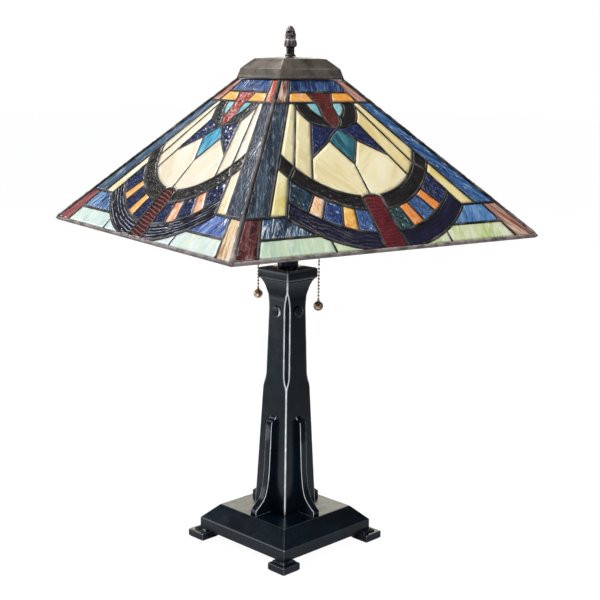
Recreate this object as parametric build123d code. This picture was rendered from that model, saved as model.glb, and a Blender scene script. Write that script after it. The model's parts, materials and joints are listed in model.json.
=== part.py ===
from build123d import *
import os
from math import atan2, cos, hypot, radians, sin, sqrt

# Table lamp: a turned-square cast column on a footed base carries a two-light cluster and a
# four-sided leaded-glass shade. Millimetres, +Z up, origin on the lamp axis at the floor.

# ---------------------------------------------------------------- driving dimensions
# base
FELT_T = 1.2
FOOT_OUT = 94.2
FOOT_SIDE = 30.0
FOOT_TOP = 10.5
NECK_OUT = 88.0
NECK_SIDE = 22.0
PLATE_BOTTOM = 12.0
BAND_HALF = 82.6
BAND_TOP = 27.4
PLATEAU_HALF = 63.0
PLATEAU_Z = 46.8
PLATE_WALL = 5.0
FOOT_SCREW_AT = 75.2
FOOT_SCREW_R = 2.5
COVER_HALF = 76.0
COVER_T = 1.5
COVER_SCREW_AT = (64.0, 30.0)
COVER_SCREW_R = 1.9
BALLAST_HALF = 50.0
BALLAST_TOP = 31.0
BUSHING_Z = 20.0
BUSHING_BORE_R = 3.8
BUSHING_BODY_R = 5.4
BUSHING_FLANGE_R = 8.0
BUSHING_FLANGE_T = 1.8

# column
COLUMN_TAPER = [(29.6, 46.8), (28.8, 71.6), (22.5, 223.0), (19.8, 337.0)]
FLARE_MID = (21.2, 352.5)
FLARE_TOP = (26.2, 364.0)
COLUMN_WALL = 4.5
STOP_LOW = (219.0, 236.0)
STOP_HIGH = (323.0, 348.0)
STOP_TIP_HALF = 20.3
STOP_LEG = 5.6
CORNER_EASE = 0.8
CAPITAL_HALF = 28.5
CAPITAL_TOP = 378.0
CAPITAL_PEAK = 380.4
CAPITAL_EDGE = 1.6
PEG_R = 8.0
PEG_Z = 321.0
PEG_PROUD = 2.6
FIN_T = 10.8
FIN_NOSE_R = 60.0
FIN_NOSE_TOP = 54.0
FIN_TOP_Z = 179.0
FIN_TOP_R = 32.4
FIN_PIN_R = 3.0

# pipe and collar
PIPE_R = 4.9
PIPE_BORE_R = 3.6
PIPE_CLEAR = 0.2
PIPE_BOTTOM = 25.0
COLLAR_R = 13.85
COLLAR_TOP = 389.0
LOCK_NUT_T = 5.0

# light cluster
SOCKET_Z = 458.0
CLUSTER_R = 15.0
CLUSTER_BOTTOM = 442.0
CLUSTER_TOP = 474.0
CHAIN_X = 57.0
SHELL_R = 19.2
SHELL_T = 0.7
SHELL_END = 83.0
LAMP_BASE_R = 13.0
THREAD_BORE_R = 13.5
BULB_R = 30.0
BULB_TIP = 171.0
BELL_BOTTOM = 430.0
CHAIN_R = 1.6
CHAIN_PITCH = 4.4
BALL_Z = 334.5
BALL_R = 6.35

# shade
RIM_HALF = 228.6
RIM_Z = 433.0
TOP_HALF = 49.0
TOP_Z = 623.4
SHADE_YAW = -10.47
CAME_T = 4.6
GLASS_T = 3.0
GLASS_SET = 0.8
GLASS_GAP = 0.12
SEAM_W = 3.4
THIN_SEAM_W = 2.8
CENTRE_SEAM_W = 2.2
RIM_H = 4.0
RIM_T = 5.2
RIDGE_TRIM = 3.2
BEAD_R = 3.4
BEAD_SINK = 2.1
PANEL_TOP_V = 261.2
CIRCLE_V = 185.0
RINGS = {"outer": 185.5, "band": 160.5, "black": 127.0, "cream": 107.0}

# cap and finial
CAP_PROFILE = [(50.6, 622.9), (49.8, 626.4), (47.0, 636.2), (33.8, 648.9), (9.5, 651.2)]
CAP_T = 1.3
CAP_HOLE_R = 3.6
SEAT_Z = 628.0
CAP_PLATE_T = 2.0
SPIDER_REACH = 46.1
SPIDER_ARM_W = 18.0
ROD_R = 3.175
ROD_TOP = 668.0
FINIAL_BOTTOM = 651.4
FINIAL_TOP = 690.0

SLOPE = atan2(TOP_Z - RIM_Z, RIM_HALF - TOP_HALF)
SLANT = hypot(TOP_Z - RIM_Z, RIM_HALF - TOP_HALF)
NARROWING = (RIM_HALF - TOP_HALF) / SLANT
SIDES = (1, -1)
QUARTERS = (0, 90, 180, 270)


# ---------------------------------------------------------------- helpers
def save(name, solids):
    """One STEP file for one sub-part, which may be several separate solids."""
    solids = [s for item in solids for s in item.solids()]
    export_step(Compound(label=name, children=solids), f"parts/{name}.step")


def four(item, start=0.0):
    """The same solid on each of the four sides."""
    return [Rot(0, 0, start + q) * item for q in QUARTERS]


def facing_up(faces):
    """The same flat faces, all turned to face +Z."""
    return [f if f.normal_at().Z > 0 else -f for f in faces]


def region(*edges):
    """The flat face inside a closed run of edges, facing +Z."""
    return facing_up(make_face(edges).faces())[0]


def polygon(*points):
    return region(*Polyline(*points, close=True).edges())


def square_turned(points, half_extent=200.0):
    """A square-section body whose outline, seen from any side, is the given half profile."""
    return crossed(polygon(*points, *[(-x, z) for x, z in reversed(points)]), half_extent)


def crossed(profile, half_extent=200.0):
    """Where a profile run along Y meets the same profile run along X."""
    along_y = extrude(Plane.XZ.location * profile, half_extent, both=True)
    return (along_y & (Rot(0, 0, 90) * along_y)).solids()[0]


def rod(radius, bottom, top, x=0.0, y=0.0):
    """An upright cylinder between two heights."""
    return Pos(x, y, bottom) * Cylinder(radius, top - bottom, align=(Align.CENTER, Align.CENTER, Align.MIN))


def block(half_x, half_y, bottom, top, x=0.0, y=0.0):
    """An upright box between two heights."""
    base = (Align.CENTER, Align.CENTER, Align.MIN)
    return Pos(x, y, bottom) * Box(2 * half_x, 2 * half_y, top - bottom, align=base)


def hex_nut(across_flats, bore_r, bottom, top):
    """A hexagonal nut on the lamp axis."""
    outline = RegularPolygon(across_flats / 2, 6, major_radius=False)
    return Pos(0, 0, bottom) * extrude(outline, top - bottom) - rod(bore_r, bottom - 1, top + 1)


def turned(points):
    """A solid of revolution about Z from an (r, z) outline."""
    return revolve(Plane.XZ.location * polygon(*points), Axis.Z)


def turned_along_x(points):
    """A solid of revolution about the socket axis from an (x, r) outline."""
    spun = revolve(polygon(*points), Axis.X)
    return Pos(0, 0, SOCKET_Z) * spun


def rounded(body, edges, radius):
    """The body with a small edge radius."""
    return fillet(edges, radius).solids()[0]


def column_half(z):
    """Half the column's width at a height on its straight tapers."""
    for (w0, z0), (w1, z1) in zip(COLUMN_TAPER, COLUMN_TAPER[1:]):
        if z <= z1:
            return w0 + (w1 - w0) * (z - z0) / (z1 - z0)
    return COLUMN_TAPER[-1][0]


# ---------------------------------------------------------------- base
def felt_pads():
    pad = block(FOOT_SIDE / 2 - 2, FOOT_SIDE / 2 - 2, 0, FELT_T, *foot_centre())
    return four(pad)


def foot_centre():
    return (FOOT_OUT - FOOT_SIDE / 2, FOOT_OUT - FOOT_SIDE / 2)


def corner_feet():
    foot = block(FOOT_SIDE / 2, FOOT_SIDE / 2, FELT_T, FOOT_TOP, *foot_centre()).solids()[0]
    foot = rounded(foot, foot.edges(), 1.4)
    neck_at = NECK_OUT - NECK_SIDE / 2
    neck = block(NECK_SIDE / 2, NECK_SIDE / 2, FOOT_TOP - 1, PLATE_BOTTOM, neck_at, neck_at)
    foot = foot + neck
    foot -= rod(FOOT_SCREW_R + 0.1, 0, 14, FOOT_SCREW_AT, FOOT_SCREW_AT)
    foot -= rod(5.0, 0, FELT_T + 3.4, FOOT_SCREW_AT, FOOT_SCREW_AT)
    return four(foot)


def foot_screws():
    head = rod(4.6, FELT_T + 0.2, FELT_T + 3.4, FOOT_SCREW_AT, FOOT_SCREW_AT)
    shank = rod(FOOT_SCREW_R, FELT_T + 3.3, 22, FOOT_SCREW_AT, FOOT_SCREW_AT)
    slot = block(5, 0.6, 0, FELT_T + 1.2, FOOT_SCREW_AT, FOOT_SCREW_AT)
    return four(head + shank - slot)


def base_plate():
    outer = square_turned([(BAND_HALF, PLATE_BOTTOM), (BAND_HALF, BAND_TOP), (PLATEAU_HALF, PLATEAU_Z)])
    upper_edges = outer.edges().filter_by(lambda e: e.center().Z > PLATE_BOTTOM + 1)
    outer = rounded(outer, upper_edges, 1.1)
    inner_band = BAND_HALF - PLATE_WALL
    inner_top = PLATEAU_Z - PLATE_WALL - 0.8
    inner_bottom = (inner_band, PLATE_BOTTOM - 1)
    inner = square_turned([inner_bottom, (inner_band, BAND_TOP - 2), (PLATEAU_HALF - 4, inner_top)])
    plate = outer - inner
    x, y = COVER_SCREW_AT
    posts = [rod(5.5, PLATE_BOTTOM + 2, PLATEAU_Z, sx * x, sy * y) for sx in SIDES for sy in SIDES]
    corner_posts = four(rod(6.5, PLATE_BOTTOM, PLATEAU_Z, FOOT_SCREW_AT, FOOT_SCREW_AT))
    for post in posts + corner_posts:
        plate += post & outer
    for sx in SIDES:
        for sy in SIDES:
            plate -= rod(COVER_SCREW_R + 0.1, PLATE_BOTTOM, 26, sx * x, sy * y)
    for hole in four(rod(FOOT_SCREW_R + 0.1, PLATE_BOTTOM - 1, 23, FOOT_SCREW_AT, FOOT_SCREW_AT)):
        plate -= hole
    plate -= block(COVER_HALF + 0.3, COVER_HALF + 0.3, PLATE_BOTTOM - 1, PLATE_BOTTOM + 2) - corner_lands()
    plate -= rod(PIPE_R + PIPE_CLEAR, 30, 60)
    plate -= Pos(-BAND_HALF, 0, BUSHING_Z) * Rot(0, 90, 0) * Cylinder(BUSHING_BODY_R + 0.05, 20)
    return [plate]


def corner_lands():
    """The full-height corners of the base that the feet bolt against."""
    lands = four(block(14, 14, 0, 60, BAND_HALF, BAND_HALF))
    return lands[0] + lands[1] + lands[2] + lands[3]


def base_cover():
    cover = block(COVER_HALF, COVER_HALF, PLATE_BOTTOM + 0.4, PLATE_BOTTOM + 0.4 + COVER_T)
    for corner in four(block(14.4, 14.4, 0, 60, BAND_HALF, BAND_HALF)):
        cover -= corner
    x, y = COVER_SCREW_AT
    for sx in SIDES:
        for sy in SIDES:
            cover -= rod(COVER_SCREW_R + 0.2, 0, 30, sx * x, sy * y)
    return [cover]


def cover_screws():
    screws = []
    x, y = COVER_SCREW_AT
    for sx in SIDES:
        for sy in SIDES:
            head = rod(3.8, PLATE_BOTTOM - 1.9, PLATE_BOTTOM + 0.35, sx * x, sy * y)
            shank = rod(COVER_SCREW_R, PLATE_BOTTOM, 24, sx * x, sy * y)
            slot = block(5, 0.5, 0, PLATE_BOTTOM - 1, sx * x, sy * y)
            screws.append(head + shank - slot)
    return screws


def ballast_block():
    ballast = block(BALLAST_HALF, BALLAST_HALF, PLATE_BOTTOM + 2.0, BALLAST_TOP).solids()[0]
    ballast = rounded(ballast, ballast.edges().filter_by(Axis.Z), 8)
    return [ballast - rod(16, 0, 60)]


def cord_bushing():
    inner = BAND_HALF - PLATE_WALL - 1.2
    outer = BAND_HALF + BUSHING_FLANGE_T
    ring = [
        (-outer, BUSHING_BORE_R),
        (-inner, BUSHING_BORE_R),
        (-inner, BUSHING_BODY_R),
        (-BAND_HALF, BUSHING_BODY_R),
        (-BAND_HALF, BUSHING_FLANGE_R),
        (-outer + 0.5, BUSHING_FLANGE_R),
        (-outer, BUSHING_FLANGE_R - 0.9),
    ]
    spun = revolve(polygon(*ring), Axis.X)
    return [Pos(0, 0, BUSHING_Z) * spun]


# ---------------------------------------------------------------- column
def column_outline(scale=1.0, inset=0.0):
    """Outline of the column: two straight tapers and the flare below the capital."""
    low = [(w * scale - inset, z) for w, z in COLUMN_TAPER]
    flare_mid = (FLARE_MID[0] * scale - inset, FLARE_MID[1])
    flare_end = (FLARE_TOP[0] * scale - inset, FLARE_TOP[1])
    right = Polyline(*low)
    flare = ThreePointArc(low[-1], flare_mid, flare_end)
    top = Line(flare_end, (-flare_end[0], flare_end[1]))
    bottom = Line((-low[0][0], low[0][1]), low[0])
    return region(right, flare, top, mirror(flare, Plane.YZ), mirror(right, Plane.YZ), bottom)


def stopped_chamfer():
    """The tool that takes one corner off the column, running out in a curved tongue at each end."""
    depth = STOP_LEG / sqrt(2)
    (tip_low, flat_low), (flat_high, tip_high) = STOP_LOW, STOP_HIGH
    d_low = column_half(flat_low) * sqrt(2) - depth
    d_high = column_half(flat_high) * sqrt(2) - depth
    low_tip = (column_half(tip_low) * sqrt(2) + 0.4, tip_low)
    high_tip = (STOP_TIP_HALF * sqrt(2) + 0.4, tip_high)
    flat = Line((d_low, flat_low), (d_high, flat_high))
    low_tongue = TangentArc((d_low, flat_low), low_tip, tangent=(0, -1))
    high_tongue = TangentArc((d_high, flat_high), high_tip, tangent=(0, 1))
    clear = d_low + 20
    back = Polyline(low_tip, (clear, tip_low), (clear, tip_high), high_tip)
    blade = extrude(Plane.XZ.location * region(flat, low_tongue, high_tongue, back), 12, both=True)
    return Rot(0, 0, 45) * blade


def column_body():
    body = crossed(column_outline())
    eased = Rot(0, 0, 45) * crossed(column_outline(sqrt(2), CORNER_EASE))
    body = (body & eased).solids()[0]
    for tool in four(stopped_chamfer()):
        body -= tool
    low = [(w - COLUMN_WALL, z) for w, z in COLUMN_TAPER]
    low[0] = (low[0][0], PLATEAU_Z - 1)
    body -= square_turned(low)
    body -= rod(PIPE_R + PIPE_CLEAR, 300, 400)
    for peg in four(peg_shape(0.1)):
        body -= peg
    return [body]


def capital():
    half = CAPITAL_HALF
    bottom = FLARE_TOP[1]
    under_edge = [(half - CAPITAL_EDGE, bottom), (half, bottom + CAPITAL_EDGE)]
    body = square_turned(under_edge + [(half, CAPITAL_TOP), (COLLAR_R + 2, CAPITAL_PEAK)])
    upright = body.edges().filter_by(Axis.Z)
    body = rounded(body, upright, 3.0)
    return [body - rod(PIPE_R + PIPE_CLEAR, 300, 400)]


def peg_shape(clearance=0.0):
    """A round-headed peg through one face of the column."""
    face = column_half(PEG_Z)
    head = face + PEG_PROUD
    root = face - COLUMN_WALL + 1.0
    outline = [
        (root, 0),
        (root, 3 + clearance),
        (face - 1.0 - clearance, 3 + clearance),
        (face - 1.0 - clearance, PEG_R + clearance),
        (head - 0.9, PEG_R + clearance),
        (head, PEG_R - 1.6),
        (head + 0.25, 0),
    ]
    spun = revolve(polygon(*outline), Axis.X)
    return Pos(0, 0, PEG_Z) * spun


def fin_face():
    """Side outline of one buttress fin, from the column's face out to its nose."""
    top_in = (column_half(FIN_TOP_Z), FIN_TOP_Z)
    shoulder = (FIN_TOP_R, FIN_TOP_Z - 8.0)
    heel = (FIN_NOSE_R, PLATEAU_Z)
    nose = (FIN_NOSE_R, FIN_NOSE_TOP)
    low = (35.6, 110.0)
    cove = ThreePointArc(top_in, (FIN_TOP_R - 5.4, FIN_TOP_Z - 5.3), shoulder)
    front = Line(shoulder, low)
    sweep_line = Spline(low, (39.6, 80.0), (46.6, 64.8), nose, tangents=((0.055, -1), (0.86, -0.5)))
    foot = Polyline(nose, heel, COLUMN_TAPER[0], COLUMN_TAPER[1], top_in)
    return region(cove, front, sweep_line, foot)


def buttress_fins():
    fin = extrude(Plane.XZ.location * fin_face(), FIN_T / 2, both=True).solids()[0]
    fin -= fin_pin(0.05)
    return four(fin)


def fin_pin(clearance=0.0):
    """A round pin across the top of a fin, standing out of the cove."""
    x = FIN_TOP_R - 4.6
    z = FIN_TOP_Z - 7.4
    length = FIN_T + 0.8 + 2 * clearance
    return Pos(x, 0, z) * Rot(90, 0, 0) * Cylinder(FIN_PIN_R + clearance, length)


def fin_pins():
    return four(fin_pin())


def peg_buttons():
    return four(peg_shape())


# ---------------------------------------------------------------- pipe, collar and nuts
def lamp_pipe():
    pipe = rod(PIPE_R, PIPE_BOTTOM, CLUSTER_BOTTOM + 9) - rod(PIPE_BORE_R, 0, 500)
    return [pipe]


def pipe_nut():
    ceiling = PLATEAU_Z - PLATE_WALL - 0.8
    return [hex_nut(16, PIPE_R + 0.05, ceiling - 8.0, ceiling - 1.8)]


def lock_washer():
    ceiling = PLATEAU_Z - PLATE_WALL - 0.8
    return [rod(11, ceiling - 1.7, ceiling - 0.1) - rod(PIPE_R + 0.1, 0, 100)]


def neck_collar():
    outline = [
        (PIPE_R + PIPE_CLEAR, CAPITAL_PEAK),
        (COLLAR_R - 0.6, CAPITAL_PEAK),
        (COLLAR_R, CAPITAL_PEAK + 0.6),
        (COLLAR_R, COLLAR_TOP - 1.0),
        (COLLAR_R - 1.0, COLLAR_TOP),
        (PIPE_R + PIPE_CLEAR, COLLAR_TOP),
    ]
    return [turned(outline)]


def upper_lock_nut():
    return [hex_nut(15, PIPE_R + 0.05, COLLAR_TOP + 0.05, COLLAR_TOP + LOCK_NUT_T)]


# ---------------------------------------------------------------- light cluster
def cluster_body():
    r = CLUSTER_R
    outline = [
        (0, CLUSTER_BOTTOM),
        (r - 5, CLUSTER_BOTTOM),
        (r, CLUSTER_BOTTOM + 5),
        (r, CLUSTER_TOP - 4),
        (r - 1.5, CLUSTER_TOP - 2.5),
        (r - 1.5, CLUSTER_TOP),
        (0, CLUSTER_TOP),
    ]
    body = turned(outline)
    body -= rod(9.0, SOCKET_Z - 7, CLUSTER_TOP - 3)
    body -= rod(PIPE_R + 0.05, 0, SOCKET_Z)
    body -= rod(ROD_R + 0.06, SOCKET_Z, 500)
    body -= Pos(0, 0, SOCKET_Z) * Rot(0, 90, 0) * Cylinder(PIPE_R + 0.05, 60)
    return [body]


def cluster_cap():
    outline = [
        (ROD_R + 0.1, CLUSTER_TOP + 0.05),
        (13.0, CLUSTER_TOP + 0.05),
        (12.0, CLUSTER_TOP + 2.5),
        (7.0, CLUSTER_TOP + 5.0),
        (ROD_R + 0.1, CLUSTER_TOP + 5.4),
    ]
    return [turned(outline)]


def both_sides(item):
    """The +X socket's piece and its twin on -X."""
    return [item, Rot(0, 0, 180) * item]


def socket_nipples():
    return both_sides(turned_along_x([(10, PIPE_BORE_R), (24, PIPE_BORE_R), (24, PIPE_R), (10, PIPE_R)]))


def socket_caps():
    t = SHELL_T
    outline = [
        (19.0, PIPE_R + 0.05),
        (19.0, 9.0),
        (23.0, 13.5),
        (29.0, SHELL_R - 1.0),
        (33.0, SHELL_R),
        (37.0, SHELL_R),
        (37.0, SHELL_R - t),
        (33.4, SHELL_R - t),
        (29.6, SHELL_R - 1.0 - t),
        (23.6, 13.5 - t),
        (20.0, 8.5),
        (20.0, PIPE_R + 0.05),
    ]
    return both_sides(turned_along_x(outline))


def bell_hole(radius):
    return rod(radius, 400, SOCKET_Z - 10, CHAIN_X)


def socket_shells():
    t = SHELL_T
    r = SHELL_R
    outline = [
        (37.1, r - t),
        (37.1, r),
        (38.5, r + 0.5),
        (40.0, r),
        (79.0, r),
        (81.0, r + 0.9),
        (SHELL_END, r + 0.9),
        (SHELL_END, r + 0.9 - t),
        (81.3, r + 0.9 - t),
        (79.0, r - t),
    ]
    return both_sides(turned_along_x(outline) - bell_hole(3.6))


def socket_insulators():
    r = SHELL_R - SHELL_T - 0.1
    sleeve = turned_along_x([(39, r - 0.7), (39, r), (80, r), (80, r - 0.7)])
    return both_sides(sleeve - bell_hole(4.0))


def socket_interiors():
    r = SHELL_R - SHELL_T - 1.0
    core = turned_along_x([(39, 0), (39, r), (70, r), (70, 15.2), (61.5, 15.2), (61.5, 0)])
    core -= rod(2.1, 400, SOCKET_Z - 4, CHAIN_X)
    return both_sides(core)


def screw_shells():
    bore = THREAD_BORE_R
    wall = bore + 0.8
    lip = bore + 1.4
    outline = [(62, bore), (62, wall), (81, wall), (81.6, lip), (82, lip), (82, bore)]
    return both_sides(turned_along_x(outline))


def center_contacts():
    return both_sides(turned_along_x([(61.6, 0), (61.6, 4.5), (62.2, 4.5), (63.4, 2.0), (63.4, 0)]))


def chain_bells():
    top = SOCKET_Z - SHELL_R + 1.6
    outline = [
        (2.2, BELL_BOTTOM),
        (5.4, BELL_BOTTOM),
        (5.4, BELL_BOTTOM + 1.0),
        (3.9, BELL_BOTTOM + 4.0),
        (3.4, top - 3.4),
        (3.4, top),
        (2.2, top),
    ]
    bell = Pos(CHAIN_X, 0, 0) * turned(outline)
    return both_sides(bell)


def riser_rod():
    return [rod(ROD_R, SOCKET_Z + 5, ROD_TOP)]


def riser_nut():
    return [hex_nut(12.7, ROD_R + 0.05, SEAT_Z - 8, SEAT_Z - 2.2)]


def riser_washer():
    return [rod(10, SEAT_Z - 2.1, SEAT_Z - 0.3) - rod(ROD_R + 0.1, 0, 700)]


# ---------------------------------------------------------------- pull chains
def bead_ended(top, bottom, x):
    """A slim chain run whose ends are rounded like its beads."""
    r = CHAIN_R
    turn = r / sqrt(2)
    outline = [
        Line((0, bottom), (0, top)),
        ThreePointArc((0, top), (turn, top - r + turn), (r, top - r)),
        Line((r, top - r), (r, bottom + r)),
        ThreePointArc((r, bottom + r), (turn, bottom + r - turn), (0, bottom)),
    ]
    return Pos(x, 0, 0) * revolve(Plane.XZ.location * region(*outline), Axis.Z)


UPPER_HINGE_Z = BELL_BOTTOM - 4.4
LOWER_HINGE_Z = UPPER_HINGE_Z - 9 * CHAIN_PITCH


def pull_stem(x):
    head = rod(1.9, SOCKET_Z - 9, SOCKET_Z - 6, x)
    stem = rod(1.3, UPPER_HINGE_Z + 1.2, SOCKET_Z - 8, x)
    return [head + stem]


def upper_chain(x):
    return [bead_ended(UPPER_HINGE_Z - 0.6, LOWER_HINGE_Z + 0.6, x)]


def lower_chain(x):
    return [bead_ended(LOWER_HINGE_Z - 0.6, BALL_Z + BALL_R + 0.3, x)]


def pull_ball(x):
    ball = Pos(x, 0, BALL_Z) * Sphere(BALL_R)
    collar = rod(2.4, BALL_Z + 4.5, BALL_Z + BALL_R + 1.6, x)
    return [ball + collar - rod(CHAIN_R + 0.05, BALL_Z + BALL_R - 0.2, BALL_Z + 20, x)]


# ---------------------------------------------------------------- bulbs
def bulb_glass(side):
    """A standard pear-shaped envelope, 1 mm thick, open at the neck."""
    neck = 12.6
    centre = BULB_TIP - BULB_R
    shoulder = centre - BULB_R * cos(radians(58))
    shoulder_r = BULB_R * sin(radians(58))

    def skin(t):
        ball = ThreePointArc((shoulder + t * 0.5, shoulder_r - t), (centre, BULB_R - t), (BULB_TIP - t, 0))
        widest = (shoulder + t * 0.5, shoulder_r - t)
        cone = Spline((90.5, neck - t), widest, tangents=((1, 0), (0.53, 0.85)))
        return ball, cone

    ball, cone = skin(0)
    inner_ball, inner_cone = skin(1.0)
    rim = Line(cone @ 0, inner_cone @ 0)
    tip = Line(inner_ball @ 1, ball @ 1)
    outline = region(ball, cone, rim, inner_cone, inner_ball, tip)
    glass = Pos(0, 0, SOCKET_Z) * revolve(outline, Axis.X)
    return [glass if side > 0 else Rot(0, 0, 180) * glass]


def bulb_base(side):
    r = LAMP_BASE_R
    outline = [
        (64.0, 0),
        (64.0, 3.5),
        (65.5, 4.5),
        (67.0, r - 1.2),
        (68.0, r),
        (88.0, r),
        (90.3, r + 0.4),
        (90.3, r - 0.3),
        (88.0, r - 0.6),
        (69.0, r - 0.6),
        (66.5, 3.0),
        (66.5, 0),
    ]
    base = turned_along_x(outline)
    return [base if side > 0 else Rot(0, 0, 180) * base]


# ---------------------------------------------------------------- shade panels
def half_width(v, inset=0.0):
    """Half the face's width at a distance up its slope, less an inset measured square to the ridge."""
    return RIM_HALF - NARROWING * v - inset * sqrt(1 + NARROWING**2)


def trapezoid(low, high, inset):
    corners = [
        (-half_width(low, inset), low),
        (half_width(low, inset), low),
        (half_width(high, inset), high),
        (-half_width(high, inset), high),
    ]
    return polygon(*corners)


def on_ring(radius, angle):
    """A point of a ring, its angle taken from straight down towards +U."""
    a = radians(angle)
    return (radius * sin(a), CIRCLE_V - radius * cos(a))


def ring_arc(radius, start, end):
    return ThreePointArc(on_ring(radius, start), on_ring(radius, (start + end) / 2), on_ring(radius, end))


STRIP_LOW = ((194.0, 0.0), (164.6, 57.0))
STRIP_MID = ((154.4, 57.0), (53.0, 224.0))
STRIP_HIGH = ((53.0, 224.0), (34.0, 262.0))
END_LINE = ((103.5, 110.3), (130.9, 57.0))
BAR_ANGLES = (15.0, 22.3, 32.1, 38.7)
LEAF_TIP = (56.4, 139.4)
STAR_INNER = (20.5, 164.0)
LINE_1 = ((42.1, 224.0), (88.5, 126.5))
LINE_2 = ((34.3, 192.6), (71.7, 106.8))


def side_seams():
    """Seam centre lines on the +U half of a face, each with its width."""
    main, thin = SEAM_W, THIN_SEAM_W
    seams = [
        (Line(*STRIP_LOW), main),
        (Line(*STRIP_MID), main),
        (Line(*STRIP_HIGH), main),
        (Line((179.6, 28), (98.8, 28)), main),
        (Line((200, 57), (130.9, 57)), main),
        (Line((13, 224), (80, 224)), main),
        (Line((86, 2), (86, 20.6)), thin),
        (Line((16.5, 2), (14.3, 76)), main),
        (ring_arc(RINGS["outer"], 12.5, 45.4), main),
        (ring_arc(RINGS["band"], 5.6, 48.9), main),
        (ring_arc(RINGS["black"], 6.6, 62.4), main),
        (ring_arc(RINGS["cream"], 7.6, 68.9), main),
        (Line(*END_LINE), main),
        (Line(LINE_1[1], END_LINE[0]), main),
        (Line((0, 127), STAR_INNER), thin),
        (ThreePointArc(STAR_INNER, (11.6, 173.6), (0, 181.5)), thin),
        (Line(*LINE_1), thin),
        (Line(*LINE_2), thin),
        (Line(STAR_INNER, LEAF_TIP), thin),
        (ThreePointArc((0, 184), (18.5, 186.5), LINE_2[0]), thin),
        (ThreePointArc((45, 224), (42.2, 206.5), LINE_2[0]), thin),
        (Line((19, 241), (13.2, 226)), thin),
        (Spline((13.2, 226), (11.2, 215), (11.6, 201), (0, 184)), thin),
        (ThreePointArc((27, 224), (19.1, 204.9), (11.4, 199.5)), thin),
    ]
    for angle in BAR_ANGLES:
        seams.append((Line(on_ring(RINGS["black"], angle), on_ring(RINGS["band"], angle)), thin))
    return seams


def middle_seams():
    """Seam centre lines that cross the middle of a face."""
    return [
        (Line((-44.5, 241), (44.5, 241)), SEAM_W),
        (Line((0, 78), (0, 128)), CENTRE_SEAM_W),
        (ThreePointArc((-14.3, 75), (0, 80.5), (14.3, 75)), THIN_SEAM_W),
    ]


def lattice(extra):
    """All the seams of one face as one flat region, each widened by the same amount."""
    strips = []
    for line, width in side_seams():
        strip = trace(line, width + extra)
        strips += [strip, mirror(strip, Plane.YZ)]
    for line, width in middle_seams():
        strips.append(trace(line, width + extra))
    knots = [STAR_INNER, LEAF_TIP, LINE_1[1], END_LINE[0], END_LINE[1], STRIP_MID[1], LINE_2[0]]
    knots += [(14.3, 76), (13.2, 226)]
    for u, v in knots:
        for side in SIDES:
            strips.append(Pos(side * u, v) * Circle((THIN_SEAM_W + extra) / 2))
    for v in (80.5, 127, 182, 184):
        strips.append(Pos(0, v) * Circle((CENTRE_SEAM_W + extra) / 2))
    return Sketch() + facing_up([f for strip in strips for f in strip.faces()])


# Glass colours, each with a point inside every pane that has it, on the +U half of a face.
PANE_SEEDS = {
    "glass_cream": [(71, 180), (58, 165), (35, 120), (128, 84)],
    "glass_amber": [(30, 233), (48.0, 50.5), (82.2, 69.2)],
    "glass_navy": [(28, 176), (27.1, 45.6), (64.5, 58.5), (100.4, 84.6)],
    "glass_denim": [(118, 140)],
    "glass_rust": [(193, 30), (55, 240)],
    "glass_pale_green": [(140, 16), (72, 10)],
    "glass_sky_blue": [(145, 43), (0, 250)],
    "glass_purple": [(85.5, 36.9)],
    "glass_black": [(58.5, 83.7), (101.3, 126.5), (25.5, 198.5)],
    "glass_crimson": [(0, 40), (0, 212)],
    "glass_teal": [(0, 155), (18, 215)],
}


def panes():
    """Flat outline of every pane of one face, sorted into its colour."""
    open_area = trapezoid(RIM_H + 0.05, PANEL_TOP_V, RIDGE_TRIM + 0.1) - lattice(2 * GLASS_GAP)
    found = {name: [] for name in PANE_SEEDS}
    for face in open_area.faces():
        if face.area < 12:
            continue
        for name, seeds in PANE_SEEDS.items():
            points = [Vector(s * u, v, 0) for u, v in seeds for s in SIDES]
            if any(face.is_inside(p, 0.01) for p in points):
                found[name].append(face)
                break
        else:
            print(f"no colour for the pane at {face.center().X:.1f}, {face.center().Y:.1f}")
    return found


def face_frame():
    """Where a face's flat pattern lies on the side that looks towards -Y."""
    out = (0, -sin(SLOPE), cos(SLOPE))
    return Plane(origin=(0, -RIM_HALF, RIM_Z), x_dir=(1, 0, 0), z_dir=out)


def onto_faces(item):
    """The item on each of the shade's four faces, with the shade at its resting turn."""
    placed = face_frame().location * item
    return four(placed, SHADE_YAW)


def came_panels():
    web = trapezoid(RIM_H + 0.05, PANEL_TOP_V, RIDGE_TRIM) & lattice(0)
    panel = Pos(0, 0, -CAME_T) * extrude(web, CAME_T)
    return onto_faces(panel)


def glass_solids(faces):
    solids = []
    for face in faces:
        pane = Pos(0, 0, -GLASS_SET - GLASS_T) * extrude(face, GLASS_T)
        solids += onto_faces(pane)
    return solids


def rim_channel():
    """Four mitred bars of the channel that closes the shade's lower edge."""
    bar = Pos(0, 0, -RIM_T) * extrude(trapezoid(0, RIM_H, 0), RIM_T)
    bar = face_frame().location * bar
    reach = 2 * RIM_HALF
    sector = extrude(polygon((0, 0), (reach, -reach), (-reach, -reach)), TOP_Z)
    return four(bar & sector, SHADE_YAW)


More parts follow.
